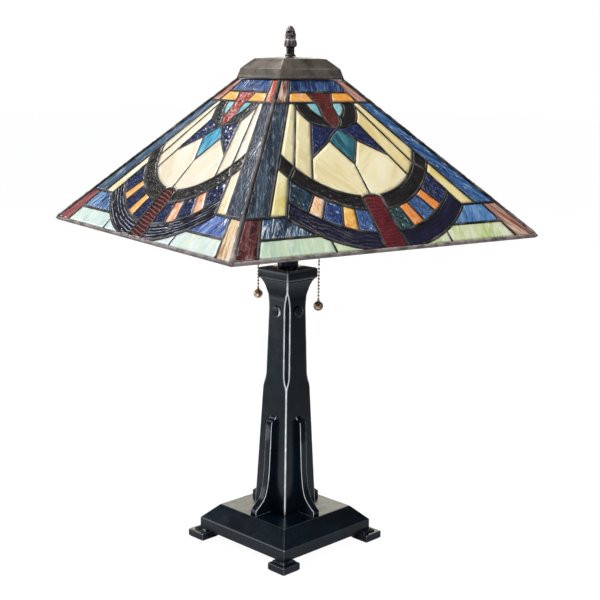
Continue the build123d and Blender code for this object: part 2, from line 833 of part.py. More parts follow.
def corner_seams():
    """Solder beads along the four ridges, clear of the panels' edges."""
    low = Vector(RIM_HALF, -RIM_HALF, RIM_Z)
    high = Vector(TOP_HALF, -TOP_HALF, TOP_Z)
    along = (high - low).normalized()
    across = Vector(1, 1, 0).normalized()
    inward = along.cross(across).normalized()
    if inward.Z > 0:
        inward = inward * -1
    start = low + inward * BEAD_SINK - along * 8
    upward = (Align.CENTER, Align.CENTER, Align.MIN)
    bead = Plane(origin=start, z_dir=along).location * Cylinder(BEAD_R, 400, align=upward)
    slab = Pos(0, 0, -CAME_T) * extrude(trapezoid(0, SLANT, RIDGE_TRIM), CAME_T)
    slab = face_frame().location * slab
    bead = bead - slab - (Rot(0, 0, 90) * slab)
    rim_top = RIM_Z + RIM_H * sin(SLOPE) + 0.1
    cap_bottom = CAP_PROFILE[0][1] - 0.15
    bead = bead & block(400, 400, rim_top, cap_bottom)
    return four(largest(bead), SHADE_YAW)


def largest(item):
    return max(item.solids(), key=lambda s: s.volume)


def shade_cap():
    """The stamped cap; its lip flares over the top edges of the panels."""
    outer = square_turned(CAP_PROFILE)
    top_edge = (RIM_HALF - PANEL_TOP_V * cos(SLOPE) + 0.12, RIM_Z + PANEL_TOP_V * sin(SLOPE) + 0.12)
    below = (top_edge[0] + 4 * cos(SLOPE), top_edge[1] - 4 * sin(SLOPE))
    inner_profile = [(w - CAP_T * 1.15, z - CAP_T * 0.9) for w, z in CAP_PROFILE[1:]]
    inner = square_turned([below, top_edge] + inner_profile)
    cap = outer - inner - rod(CAP_HOLE_R, 600, 700)
    return [Rot(0, 0, SHADE_YAW) * cap]


def cap_plate():
    """The four-armed spider inside the cap that rests on the riser's washer."""
    top = SEAT_Z + CAP_PLATE_T
    arm = block(SPIDER_REACH, SPIDER_ARM_W / 2, SEAT_Z, top)
    plate = arm + Rot(0, 0, 90) * arm - rod(CAP_HOLE_R, 600, 700)
    return [Rot(0, 0, SHADE_YAW) * plate]


def finial():
    z = FINIAL_BOTTOM
    outline = [
        (ROD_R + 0.06, z),
        (6.9, z),
        (7.1, z + 1.5),
        (6.2, z + 2.6),
        (5.3, z + 3.6),
        (5.3, z + 11.0),
        (8.3, z + 12.9),
        (8.6, z + 14.9),
        (8.0, z + 17.8),
        (6.9, z + 20.2),
        (6.1, z + 21.8),
        (6.6, z + 23.6),
        (6.6, z + 26.0),
        (6.3, z + 29.0),
        (5.6, z + 32.0),
        (4.6, z + 34.8),
        (3.0, z + 37.2),
        (0, FINIAL_TOP),
        (0, z + 19),
        (ROD_R + 0.06, z + 17.5),
    ]
    return [turned(outline)]


# ---------------------------------------------------------------- write every sub-part
def main():
    os.makedirs("parts", exist_ok=True)
    for name in os.listdir("parts"):
        os.remove(os.path.join("parts", name))
    builders = [
        base_plate, corner_feet, felt_pads, foot_screws, ballast_block, base_cover, cover_screws,
        cord_bushing, column_body, capital, buttress_fins, fin_pins, peg_buttons, lamp_pipe, pipe_nut,
        lock_washer, neck_collar, upper_lock_nut, cluster_body, cluster_cap, socket_nipples,
        socket_caps, socket_shells, socket_insulators, socket_interiors, screw_shells,
        center_contacts, chain_bells, riser_rod, riser_nut, riser_washer, came_panels, rim_channel,
        corner_seams, shade_cap, cap_plate, finial,
    ]
    for builder in builders:
        save(builder.__name__, builder())
    for word, side in (("left", -1), ("right", 1)):
        save(f"{word}_pull_stem", pull_stem(side * CHAIN_X))
        save(f"{word}_upper_chain", upper_chain(side * CHAIN_X))
        save(f"{word}_lower_chain", lower_chain(side * CHAIN_X))
        save(f"{word}_pull_ball", pull_ball(side * CHAIN_X))
        save(f"{word}_bulb_glass", bulb_glass(side))
        save(f"{word}_bulb_base", bulb_base(side))
    for name, faces in panes().items():
        print(f"{name}: {len(faces)} panes on each face")
        save(name, glass_solids(faces))


main()
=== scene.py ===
import json
import math
import random

import bmesh
import bpy
from mathutils import Matrix, Vector, noise
from mathutils.geometry import delaunay_2d_cdt
from mathutils.kdtree import KDTree

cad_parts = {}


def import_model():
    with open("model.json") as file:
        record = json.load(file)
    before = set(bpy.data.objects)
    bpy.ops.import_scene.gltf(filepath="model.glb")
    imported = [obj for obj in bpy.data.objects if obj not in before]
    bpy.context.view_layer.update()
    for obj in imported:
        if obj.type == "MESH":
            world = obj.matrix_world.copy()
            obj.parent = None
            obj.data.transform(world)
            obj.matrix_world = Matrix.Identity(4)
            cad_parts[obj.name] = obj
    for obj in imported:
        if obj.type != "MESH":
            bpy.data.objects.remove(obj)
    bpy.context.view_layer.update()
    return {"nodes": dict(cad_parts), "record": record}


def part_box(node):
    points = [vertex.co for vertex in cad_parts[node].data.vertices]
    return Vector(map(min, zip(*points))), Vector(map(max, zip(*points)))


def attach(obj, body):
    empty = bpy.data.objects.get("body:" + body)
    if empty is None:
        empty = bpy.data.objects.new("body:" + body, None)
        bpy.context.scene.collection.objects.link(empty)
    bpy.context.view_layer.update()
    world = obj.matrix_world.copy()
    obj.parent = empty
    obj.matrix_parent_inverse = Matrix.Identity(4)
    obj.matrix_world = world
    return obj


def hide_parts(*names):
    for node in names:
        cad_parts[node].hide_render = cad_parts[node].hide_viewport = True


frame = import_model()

# Stained glass table lamp. Metres in the scene; outlines on the shade are in millimetres of its face.
MM = 0.001
QUARTER_TURNS = (0, 1, 2, 3)

# ---------------------------------------------------------------- the shade's face frame
# A point of a face is (u, v, w): u along the rim, v up the slope, w out of the glass, in millimetres.


def farthest_corner(node):
    """The vertex of a CAD node that is farthest from the lamp's axis."""
    return max((v.co for v in frame["nodes"][node].data.vertices), key=lambda co: co.xy.length).copy()


def front_normal():
    """Outward normal of the glass on the side that looks mostly towards -Y."""
    polygons = frame["nodes"]["glass_cream"].data.polygons
    outward = [p for p in polygons if p.normal.z > 0.5 and p.normal.y < -0.5]
    return max(outward, key=lambda p: p.area).normal.copy()


OUT = front_normal().normalized()
ALONG = Vector((0, 0, 1)).cross(OUT).normalized()
UP_SLOPE = OUT.cross(ALONG).normalized()
SHADE_YAW = math.atan2(ALONG.y, ALONG.x)
RIM_CORNER = farthest_corner("rim_channel")
RIM_HALF = RIM_CORNER.xy.length / math.sqrt(2) / MM
RIM_Z = RIM_CORNER.z / MM
FACE_ORIGIN = Vector((ALONG.y, -ALONG.x, 0)) * RIM_HALF * MM + Vector((0, 0, RIM_Z * MM))
NARROWING = UP_SLOPE.xy.length
STEEPNESS = UP_SLOPE.z
CAP_LOW, CAP_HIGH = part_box("shade_cap")
GLASS_FRONT = -0.8
GLASS_BACK = -3.8


def on_face(u, v, w, turn=0):
    """A face point in the row frame, on one of the four faces."""
    point = FACE_ORIGIN + (ALONG * u + UP_SLOPE * v + OUT * w) * MM
    return Matrix.Rotation(turn * math.pi / 2, 3, "Z") @ point


def to_face(point):
    """The (u, v) of a point of the row frame that lies on the first face."""
    offset = (point - FACE_ORIGIN) / MM
    return Vector((offset.dot(ALONG), offset.dot(UP_SLOPE)))


# ---------------------------------------------------------------- mesh helpers
def add_piece(name, verts, faces, body, slot, replaced=(), attributes=None, smooth=True):
    """A mesh piece that rides on a body, takes its finish from a slot and stands for CAD nodes."""
    mesh = bpy.data.meshes.new(name)
    mesh.from_pydata(verts, [], faces)
    mesh.validate()
    for key, values in (attributes or {}).items():
        kind = "FLOAT_VECTOR" if isinstance(values[0], (tuple, Vector)) else "FLOAT"
        layer = mesh.attributes.new(key, kind, "POINT")
        field = "vector" if kind == "FLOAT_VECTOR" else "value"
        flat = [x for value in values for x in value] if kind == "FLOAT_VECTOR" else values
        layer.data.foreach_set(field, flat)
    mesh.polygons.foreach_set("use_smooth", [smooth] * len(mesh.polygons))
    piece = bpy.data.objects.new(name, mesh)
    bpy.context.scene.collection.objects.link(piece)
    mesh.materials.append(MATERIALS[slot])
    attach(piece, body)
    if replaced:
        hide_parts(*replaced)
    return piece


class Builder:
    """Collects vertices, faces and one edge mark for each vertex, which is rubbing and, on the cast black, a painted
    highlight.
    """

    def __init__(self):
        self.verts = []
        self.faces = []
        self.wear_and_highlight = []

    def add(self, verts, faces, wear_and_highlight=None):
        start = len(self.verts)
        self.verts += verts
        self.faces += [[start + i for i in face] for face in faces]
        self.wear_and_highlight += wear_and_highlight or [0.0] * len(verts)

    def piece(self, name, body, slot, replaced=(), smooth=True):
        return add_piece(name, self.verts, self.faces, body, slot, replaced, {"wear_and_highlight": self.wear_and_highlight}, smooth)


def ring_faces(rings, points, closed_rings=False):
    """Quads between successive rings that each have the same number of points."""
    faces = []
    last = rings if closed_rings else rings - 1
    for i in range(last):
        a = i * points
        b = (i + 1) % rings * points
        for j in range(points):
            k = (j + 1) % points
            faces.append((a + j, a + k, b + k, b + j))
    return faces


def curve_point(a, b, c, t):
    """A point of the quadratic curve from a to c that leans towards b."""
    return tuple((1 - t) ** 2 * p + 2 * t * (1 - t) * q + t * t * r for p, q, r in zip(a, b, c))


def rounded_path(points, radius, closed=False, steps=4, guard=2.4):
    """The path with its corners rounded, as (x, z, edge mark); short guard points keep the mark, rubbing and on the
    cast black a painted highlight, near the corners.
    """
    path = []
    count = len(points)
    for i, point in enumerate(points):
        ends = not closed and i in (0, count - 1)
        if ends:
            path.append((*point, 0.0))
            continue
        before, after = Vector(points[i - 1]), Vector(points[(i + 1) % count])
        here = Vector(point)
        room = 0.42 * min((before - here).length, (after - here).length)
        r = min(radius, room)
        lead_in = here + (before - here).normalized() * r
        lead_out = here + (after - here).normalized() * r
        reach = min(guard, room - r)
        if reach > 0.3:
            path.append((*(lead_in + (before - here).normalized() * reach), 0.0))
        for step in range(steps + 1):
            share = step / steps
            path.append((*curve_point(lead_in, here, lead_out, share), round(math.sin(math.pi * share), 3)))
        if reach > 0.3:
            path.append((*(lead_out + (after - here).normalized() * reach), 0.0))
    return path


def square_ring(half, corner, ease, side_points=3, corner_steps=4, guard=2.2):
    """A square outline whose corners are cut by a flat and eased: (x, y, edge mark), anticlockwise."""
    corner = max(corner, 0.05)
    ease = min(ease, 0.48 * corner * math.sqrt(2))
    reach = half - corner - ease
    a = Vector((half, half - corner))
    b = Vector((half - corner, half))
    flat = (b - a).normalized()
    quarter = []
    guard_y = max(reach - guard, reach * 0.5)
    for i in range(side_points):
        quarter.append((half, guard_y * (2 * (i + 1) / (side_points + 1) - 1), 0.0))
    quarter.insert(0, (half, -guard_y, 0.0))
    quarter.append((half, guard_y, 0.0))
    narrow = corner < 2.5
    bends = (((half, reach), a, a + flat * ease), (b - flat * ease, b, (reach, half)))
    for bend, (start, middle, end) in enumerate(bends):
        for i in range(corner_steps + 1):
            share = i / corner_steps
            rise = math.sin(math.pi * ((share + bend) / 2 if narrow else share))
            quarter.append((*curve_point(start, middle, end, share), round(rise, 3)))
    ring = []
    for turn in QUARTER_TURNS:
        c, s = round(math.cos(turn * math.pi / 2)), round(math.sin(turn * math.pi / 2))
        ring += [(x * c - y * s, x * s + y * c, wear_and_highlight) for x, y, wear_and_highlight in quarter]
    return ring


def square_loft(path, corner, ease, closed=True, at=(0.0, 0.0), yaw=0.0, rough=None, rub_and_highlight=1.0):
    """Lofts square rings along a path of (half width, height, edge mark), in millimetres; rub scales the edge mark,
    rubbing that on the cast black also stands for a painted edge highlight.
    """
    verts, wear_and_highlight = [], []
    turn = Matrix.Rotation(yaw, 3, "Z")
    for half, z, path_wear_and_highlight in path:
        cut = corner(half, z) if callable(corner) else corner
        for x, y, ring_wear_and_highlight in square_ring(half, min(cut, half * 0.45), ease):
            point = turn @ Vector((x, y, z))
            if rough:
                point += rough(point)
            verts.append((point + Vector((*at, 0))) * MM)
            wear_and_highlight.append(rub_and_highlight * max(path_wear_and_highlight, ring_wear_and_highlight) + 0.5 * path_wear_and_highlight * ring_wear_and_highlight)
    points = len(square_ring(10, 1, 0.5))
    faces = ring_faces(len(path), points, closed)
    if not closed:
        faces.append(list(range(points))[::-1])
        faces.append([(len(path) - 1) * points + i for i in range(points)])
    return verts, faces, wear_and_highlight


def lathe(path, segments, shape=None, at=(0.0, 0.0)):
    """Spins a path of (radius, height, edge mark) about Z, in millimetres; shape(radius, angle, z) may vary the
    radius.
    """
    verts, wear_and_highlight, rows = [], [], []
    for radius, z, path_wear_and_highlight in path:
        if radius < 1e-6:
            rows.append([len(verts)])
            verts.append(Vector((at[0], at[1], z)) * MM)
            wear_and_highlight.append(path_wear_and_highlight)
            continue
        row = []
        for i in range(segments):
            angle = 2 * math.pi * i / segments
            r = shape(radius, angle, z) if shape else radius
            row.append(len(verts))
            verts.append(Vector((at[0] + r * math.cos(angle), at[1] + r * math.sin(angle), z)) * MM)
            # Only crests keep the full mark where a shape narrows the radius; on the finial the pale crests are
            # rubbed bronze with a painted highlight.
            wear_and_highlight.append(path_wear_and_highlight * max(0.0, r / radius * 5 - 4))
        rows.append(row)
    faces = []
    for a, b in zip(rows, rows[1:]):
        for i in range(segments):
            k = (i + 1) % segments
            if len(a) == 1 and len(b) == 1:
                break
            if len(a) == 1:
                faces.append((a[0], b[k], b[i]))
            elif len(b) == 1:
                faces.append((a[i], a[k], b[0]))
            else:
                faces.append((a[i], a[k], b[k], b[i]))
    return verts, faces, wear_and_highlight


def wobble(point, scale, seed=0.0):
    """Smooth noise, about -0.5 to 0.5, of a point given in the same unit as scale."""
    return noise.noise(Vector(point) / scale + Vector((seed * 7.3, seed * 3.1, seed * 5.7)))


# ---------------------------------------------------------------- materials
class Graph:
    """A material's nodes, added and joined in short lines."""

    def __init__(self, name):
        self.material = bpy.data.materials.new(name)
        self.material.use_nodes = True
        self.tree = self.material.node_tree
        self.shader = self.tree.nodes["Principled BSDF"]

    def feed(self, socket, value):
        if isinstance(value, bpy.types.NodeSocket):
            self.tree.links.new(value, socket)
        else:
            socket.default_value = value

    def add(self, kind, inputs, **settings):
        node = self.tree.nodes.new("ShaderNode" + kind)
        for key, value in settings.items():
            setattr(node, key, value)
        for key, value in inputs.items():
            self.feed(node.inputs[key], value)
        return node

    def principled(self, **values):
        for key, value in values.items():
            self.feed(self.shader.inputs[key.replace("_", " ").title()], value)

    def place(self):
        return self.add("TexCoord", {}).outputs["Object"]

    def attribute(self, name, output="Fac"):
        return self.add("Attribute", {}, attribute_name=name).outputs[output]

    def scaled(self, vector, scale, turn=(0, 0, 0)):
        inputs = {"Vector": vector, "Scale": scale, "Rotation": turn}
        return self.add("Mapping", inputs).outputs[0]

    def noise(self, vector, scale, detail=3.0, roughness=0.55, distortion=0.0):
        inputs = {"Vector": vector, "Scale": scale, "Detail": detail}
        inputs.update({"Roughness": roughness, "Distortion": distortion})
        return self.add("TexNoise", inputs).outputs[0]

    def range(self, value, low, high, to_low, to_high):
        inputs = {0: value, 1: low, 2: high, 3: to_low, 4: to_high}
        return self.add("MapRange", inputs).outputs[0]

    def math(self, operation, a, b=0.0):
        return self.add("Math", {0: a, 1: b}, operation=operation).outputs[0]

    def mix(self, factor, a, b, blend="MIX"):
        node = self.add("Mix", {}, data_type="RGBA", blend_type=blend)
        self.feed(node.inputs[0], factor)
        self.feed(node.inputs[6], a)
        self.feed(node.inputs[7], b)
        return node.outputs[2]

    def ramp(self, factor, stops, interpolation="LINEAR"):
        node = self.add("ValToRGB", {0: factor})
        elements = node.color_ramp.elements
        node.color_ramp.interpolation = interpolation
        while len(elements) < len(stops):
            elements.new(0.5)
        for element, (position, colour) in zip(elements, stops):
            element.position = position
            element.color = colour
        return node.outputs[0]

    def bump(self, height, distance, strength=1.0):
        inputs = {"Height": height, "Distance": distance, "Strength": strength}
        self.feed(self.shader.inputs["Normal"], self.add("Bump", inputs).outputs[0])


def rgb(text):
    """A colour written as six hex digits of sRGB, as linear RGBA."""
    values = [int(text[i:i + 2], 16) / 255 for i in (0, 2, 4)]
    linear = [x / 12.92 if x <= 0.04045 else ((x + 0.055) / 1.055) ** 2.4 for x in values]
    return (*linear, 1.0)


def worn_and_highlit_metal(name, dark, light, worn_and_highlight_tone, roughness, metallic, rub_and_highlight_range=(0.05, 0.8), bump=0.00006):
    """A finish that drifts between two tones and is rubbed to a third along marked edges; on the cast black that
    third tone is a painted edge highlight besides rubbing.
    """
    g = Graph(name)
    place = g.place()
    drift = g.noise(place, 22.0, 4.0, 0.6)
    speckle = g.noise(place, 420.0, 3.0, 0.6)
    blotch = g.noise(place, 75.0, 4.0, 0.65)
    tone = g.mix(g.range(drift, 0.35, 0.65, 0.0, 1.0), dark, light)
    tone = g.mix(g.range(speckle, 0.45, 0.8, 0.0, 0.5), tone, light)
    rub_and_highlight = g.math("MULTIPLY", g.attribute("wear_and_highlight"), g.range(blotch, 0.42, 0.62, *rub_and_highlight_range))
    bare_and_highlit = g.range(rub_and_highlight, 0.0, 1.0, metallic, metallic * 0.3)
    g.principled(base_color=g.mix(rub_and_highlight, tone, worn_and_highlight_tone), metallic=bare_and_highlit)
    g.principled(roughness=g.range(blotch, 0.3, 0.7, roughness[0], roughness[1]))
    g.bump(g.noise(place, 630.0, 4.0, 0.6), bump)
    return g.material


def plain_metal(name, dark, light, roughness, metallic=1.0, brushed=None, bump=0.00003):
    """A clean or aged metal with fine tone drift, brushed along an axis if that is given."""
    g = Graph(name)
    place = g.place()
    along = g.scaled(place, brushed) if brushed else place
    drift = g.noise(along, 60.0, 4.0, 0.6)
    fine = g.noise(along, 500.0, 3.0, 0.6)
    g.principled(base_color=g.mix(g.range(drift, 0.35, 0.65, 0.0, 1.0), dark, light))
    g.principled(metallic=metallic, roughness=g.range(fine, 0.3, 0.7, roughness[0], roughness[1]))
    g.bump(fine, bump)
    return g.material


def plain_stuff(name, dark, light, roughness, scale, bump):
    """A non-metal such as felt, fibre or moulded plastic."""
    g = Graph(name)
    fine = g.noise(g.place(), scale, 5.0, 0.7)
    g.principled(base_color=g.mix(g.range(fine, 0.3, 0.7, 0.0, 1.0), dark, light), metallic=0.0)
    g.principled(roughness=g.range(fine, 0.3, 0.7, roughness[0], roughness[1]))
    g.bump(fine, bump)
    return g.material


def envelope(name):
    """The bulb's inside-frosted glass."""
    g = Graph(name)
    cloud = g.noise(g.place(), 40.0, 4.0, 0.6)
    g.principled(base_color=g.mix(cloud, rgb("F0EFE8"), rgb("FBFAF5")), roughness=g.range(cloud, 0.3, 0.7, 0.2, 0.3))
    g.principled(transmission_weight=0.45, metallic=0.0)
    return g.material


def art_glass(name, stretch, thread=(0.03, 0.3), warp=0.9, strand_from=0.52, glint_bands=None, pit=0.0002):
    """Rolled art glass: each pane's own tones drawn out along its grain, under a glossy, faintly pitted skin.

    Pale streaks, the glass's own together with painted glints, lie along the grain, or, given an axis and a pitch in
    millimetres, in painted glint stripes across it; there a pane whose streak amount is above 0.95 is flecked with
    painted white glints instead.
    """
    g = Graph(name)
    grain = g.attribute("grain", "Vector")
    streak = g.noise(g.scaled(grain, (stretch[0], stretch[1], 1.0)), 1.0, 5.0, 0.62, warp)
    deep = g.mix(g.range(streak, 0.36, 0.48, 0.0, 1.0), g.attribute("deep", "Color"), g.attribute("body", "Color"))
    colour = g.mix(g.range(streak, 0.52, 0.64, 0.0, 1.0), deep, g.attribute("pale", "Color"))
    strand_and_glint = g.noise(g.scaled(grain, (thread[0], thread[1], 1.0)), 1.0, 4.0, 0.6, 1.4)
    amount = g.range(strand_and_glint, strand_from, strand_from + 0.1, 0.0, 1.0)
    if glint_bands:
        # painted glint stripes across the grain, or painted glint flecks on a pane marked above 0.95
        axis, pitch = glint_bands
        place = g.scaled(grain, (0.314 / pitch, 0.314 / pitch, 0.314))
        inputs = {"Vector": place, "Scale": 1.0, "Distortion": 2.2, "Detail": 2.0, "Detail Scale": 1.4}
        wave = g.add("TexWave", inputs, wave_type="BANDS", bands_direction=axis).outputs["Fac"]
        amount = g.math("MULTIPLY", amount, g.range(wave, 0.72, 0.95, 0.0, 1.0))
        glint_flecked = g.math("GREATER_THAN", g.attribute("strands_and_glints"), 0.95)
        glint_fleck = g.noise(g.scaled(grain, (0.3, 0.7, 1.0)), 1.0, 4.0, 0.7, 0.8)
        amount = g.range(glint_flecked, 0.0, 1.0, amount, g.range(glint_fleck, 0.55, 0.6, 0.0, 1.0))
    amount = g.math("MULTIPLY", amount, g.attribute("strands_and_glints"))
    g.principled(base_color=g.mix(amount, colour, g.attribute("strand_and_glint", "Color")), metallic=0.0)
    g.principled(coat_weight=0.7, coat_roughness=0.03)
    pits = g.noise(g.scaled(grain, (0.5, 0.5, 1.0)), 1.0, 4.0, 0.6)
    g.principled(roughness=g.range(pits, 0.3, 0.7, 0.07, 0.17))
    g.bump(pits, pit)
    return g.material


def make_materials():
    """One material for each slot of the record."""
    made = {
        # cast_black: the near-white third tone along eased edges and corners is a painted edge highlight, besides
        # some rubbing
        "cast_black": worn_and_highlit_metal("cast_black", rgb("0A1016"), rgb("10202C"), rgb("F4F8FC"), (0.16, 0.3), 0.4, (0.75, 1.0)),
        "solder": worn_and_highlit_metal("solder", rgb("120F0D"), rgb("221D19"), rgb("A39692"), (0.34, 0.54), 0.3, (0.3, 0.9), 0.00012),
        "cap_patina": worn_and_highlit_metal("cap_patina", rgb("241F1B"), rgb("746A60"), rgb("CCC4BA"), (0.24, 0.46), 0.5, (0.15, 0.9), 0.0002),
        # bronze: the pale pinkish tone on the finial's crests is rubbing and a painted highlight
        "bronze": worn_and_highlit_metal("bronze", rgb("160E0D"), rgb("2E2120"), rgb("C4AEAC"), (0.2, 0.36), 0.7, (0.2, 1.0)),
        "antique_brass": worn_and_highlit_metal("antique_brass", rgb("8A765C"), rgb("D8C2A4"), rgb("FFF0D0"), (0.28, 0.4), 1.0, (0.7, 1.0)),
        "brass": plain_metal("brass", rgb("A87E3C"), rgb("C89C56"), (0.22, 0.36)),
        "steel": plain_metal("steel", rgb("8E9092"), rgb("B4B6B8"), (0.26, 0.42), 1.0, (6.0, 6.0, 0.6)),
        "iron": plain_metal("iron", rgb("2E2B2A"), rgb("4A4644"), (0.55, 0.75), 0.8, None, 0.0003),
        "felt": plain_stuff("felt", rgb("1E211E"), rgb("383D38"), (0.85, 0.98), 900.0, 0.0004),
        "black_nylon": plain_stuff("black_nylon", rgb("141414"), rgb("242424"), (0.4, 0.55), 300.0, 0.00005),
        "fibre": plain_stuff("fibre", rgb("8A7456"), rgb("B09A78"), (0.6, 0.8), 250.0, 0.00012),
        "phenolic": plain_stuff("phenolic", rgb("120E0C"), rgb("2A201A"), (0.22, 0.36), 120.0, 0.00004),
        "lamp_glass": envelope("lamp_glass"),
        "cream_glass": art_glass("cream_glass", (0.012, 0.035)),
        "amber_glass": art_glass("amber_glass", (0.08, 0.1)),
        "navy_glass": art_glass("navy_glass", (0.07, 0.16), (0.3, 0.5), 1.2, 0.55),
        "denim_glass": art_glass("denim_glass", (0.014, 0.1), (0.05, 0.4), 1.1, 0.56),
        "rust_glass": art_glass("rust_glass", (0.014, 0.12), (0.02, 0.3), 0.8),
        "pale_green_glass": art_glass("pale_green_glass", (0.02, 0.09), (0.02, 0.16), 0.9),
        "sky_blue_glass": art_glass("sky_blue_glass", (0.02, 0.1), (0.035, 0.34), 1.0),
        # Purple and crimson take painted glint stripes across their grain.
        "purple_glass": art_glass("purple_glass", (0.02, 0.1), (0.03, 0.1), 1.0, 0.42, ("Y", 4.6)),
        "charcoal_glass": art_glass("charcoal_glass", (0.03, 0.1), (0.45, 0.7), 0.8, 0.55),
        "crimson_glass": art_glass("crimson_glass", (0.04, 0.06), (0.1, 0.1), 0.8, 0.3, ("X", 5.2)),
        "teal_glass": art_glass("teal_glass", (0.02, 0.09), (0.02, 0.2), 1.0),
    }
    return made


MATERIALS = make_materials()


def finish_cad_nodes():
    """Every CAD node takes the material of its own slot."""
    for row in frame["record"]["subparts"]:
        node = frame["nodes"][row["node"]]
        node.data.materials.clear()
        node.data.materials.append(MATERIALS[row["material_slot"]])


# ---------------------------------------------------------------- flat outlines of the shade
FLATNESS = 0.03


def boundary_loops(node):
    """Closed outlines, in (u, v), round the flat front of a CAD node on the first face."""
    bm = bmesh.new()
    bm.from_mesh(frame["nodes"][node].data)
    bmesh.ops.remove_doubles(bm, verts=bm.verts, dist=2e-6)
    level = {v: (v.co - FACE_ORIGIN).dot(OUT) / MM for v in bm.verts}
    surface = max(w for w in level.values() if w < FLATNESS)
    front = {f for f in bm.faces if all(abs(level[v] - surface) < FLATNESS for v in f.verts)}
    following = {}
    for face in front:
        for loop in face.loops:
            others = [f for f in loop.edge.link_faces if f in front and f is not face]
            if not others:
                following[loop.vert.index] = (loop.link_loop_next.vert.index, to_face(loop.vert.co))
    bm.free()
    loops = []
    while following:
        start = next(iter(following))
        loop, at = [], start
        while at in following:
            after, point = following.pop(at)
            loop.append(point)
            at = after
        loops.append(loop)
    return loops


def resampled(loop, step):
    """The outline with every stretch longer than step divided evenly, and very short ones skipped."""
    points = []
    for a, b in zip(loop, loop[1:] + loop[:1]):
        length = (b - a).length
        if length < 0.05:
            continue
        parts = max(1, round(length / step))
        points += [a.lerp(b, i / parts) for i in range(parts)]
    return points


def fill(loops, extra):
    """Triangles of the region inside the closed loops, with extra points inside it.

    Returns the points, the triangles and, for each point of the loops in turn, its index.
    """
    points, edges = [], []
    for loop in loops:
        start = len(points)
        points += loop
        edges += [(start + i, start + (i + 1) % len(loop)) for i in range(len(loop))]
    given = len(points)
    found = delaunay_2d_cdt(points + list(extra), edges, [], 0, 1e-5)
    out_points, out_edges, triangles, origins, edge_origins = found[:5]
    walls = {frozenset(edge) for edge, origin in zip(out_edges, edge_origins) if origin}
    sides = {}
    for number, triangle in enumerate(triangles):
        for a, b in zip(triangle, triangle[1:] + triangle[:1]):
            sides.setdefault(frozenset((a, b)), []).append(number)
    inside = {}
    stack = []
    for side, owners in sides.items():
        if len(owners) == 1 and owners[0] not in inside:
            inside[owners[0]] = side in walls
            stack.append(owners[0])
    while stack:
        number = stack.pop()
        triangle = triangles[number]
        for a, b in zip(triangle, triangle[1:] + triangle[:1]):
            side = frozenset((a, b))
            for other in sides[side]:
                if other not in inside:
                    inside[other] = inside[number] != (side in walls)
                    stack.append(other)
    index = {}
    for number, origin in enumerate(origins):
        for i in origin:
            index[i] = number
    kept = [t for number, t in enumerate(triangles) if inside.get(number)]
    return out_points, kept, [index[i] for i in range(given)]


def tree_of(points):
    tree = KDTree(len(points))
    for i, point in enumerate(points):
        tree.insert((point[0], point[1], 0), i)
    tree.balance()
    return tree


class Solid:
    """Closed sheets whose front and back share outlines; the front and back heights are functions."""

    def __init__(self, loops, front_extra, back_extra):
        self.loops = loops
        self.front = fill(loops, front_extra)
        self.back = fill(loops, back_extra)

    def build(self, builder, turn, front_height, back_height, spread=None):
        """Adds the solid on one face; heights are functions of (u, v), and spread moves the outline."""
        start = len(builder.verts)
        f_points, f_faces, f_index = self.front
        b_points, b_faces, b_index = self.back
        f_edge, b_edge = set(f_index), set(b_index)
        for points, edge, height in ((f_points, f_edge, front_height), (b_points, b_edge, back_height)):
            for i, point in enumerate(points):
                u, v = spread(point) if spread and i in edge else point
                builder.verts.append(on_face(u, v, height(point, i in edge), turn))
                builder.flat.append((point, turn))
        back_start = start + len(f_points)
        builder.faces += [[start + i for i in t] for t in f_faces]
        builder.faces += [[back_start + i for i in reversed(t)] for t in b_faces]
        at = 0
        for loop in self.loops:
            count = len(loop)
            for i in range(count):
                j = (i + 1) % count
                a, b = start + f_index[at + i], start + f_index[at + j]
                c, d = back_start + b_index[at + j], back_start + b_index[at + i]
                builder.faces.append([b, a, d, c])
            at += count


class FaceBuilder:
    def __init__(self):
        self.verts = []
        self.faces = []
        self.flat = []


# ---------------------------------------------------------------- came
SEAM_RISE = 1.3
SEAM_EDGE = -1.15
SEAM_BACK_EDGE = -3.5
SEAM_HALF = 1.7
SEAM_OVERHANG = 0.12
CAME_STEP = 2.0
FRONT_OFFSETS = (0.28, 0.75, 1.25, 1.66)
BACK_OFFSETS = (0.7, 1.6)


def offset_points(loops, offsets, tree, spacing):
    """Rows of points inside a region, each a set distance in from its outline."""
    taken = []
    cells = {}
    for offset in offsets:
        for loop in loops:
            for a, b, c in zip(loop[-1:] + loop[:-1], loop, loop[1:] + loop[:1]):
                tangent = (c - a).normalized()
                inward = Vector((-tangent.y, tangent.x))
                point = b + inward * offset
                nearest = tree.find((point.x, point.y, 0))[2]
                if nearest < offset * 0.93:
                    continue
                cell = (round(point.x / spacing), round(point.y / spacing))
                near = [
                    q
                    for i in (-1, 0, 1)
                    for j in (-1, 0, 1)
                    for q in cells.get((cell[0] + i, cell[1] + j), ())
                ]
                if any((q - point).length < spacing for q in near):
                    continue
                cells.setdefault(cell, []).append(point)
                taken.append(point)
    return taken


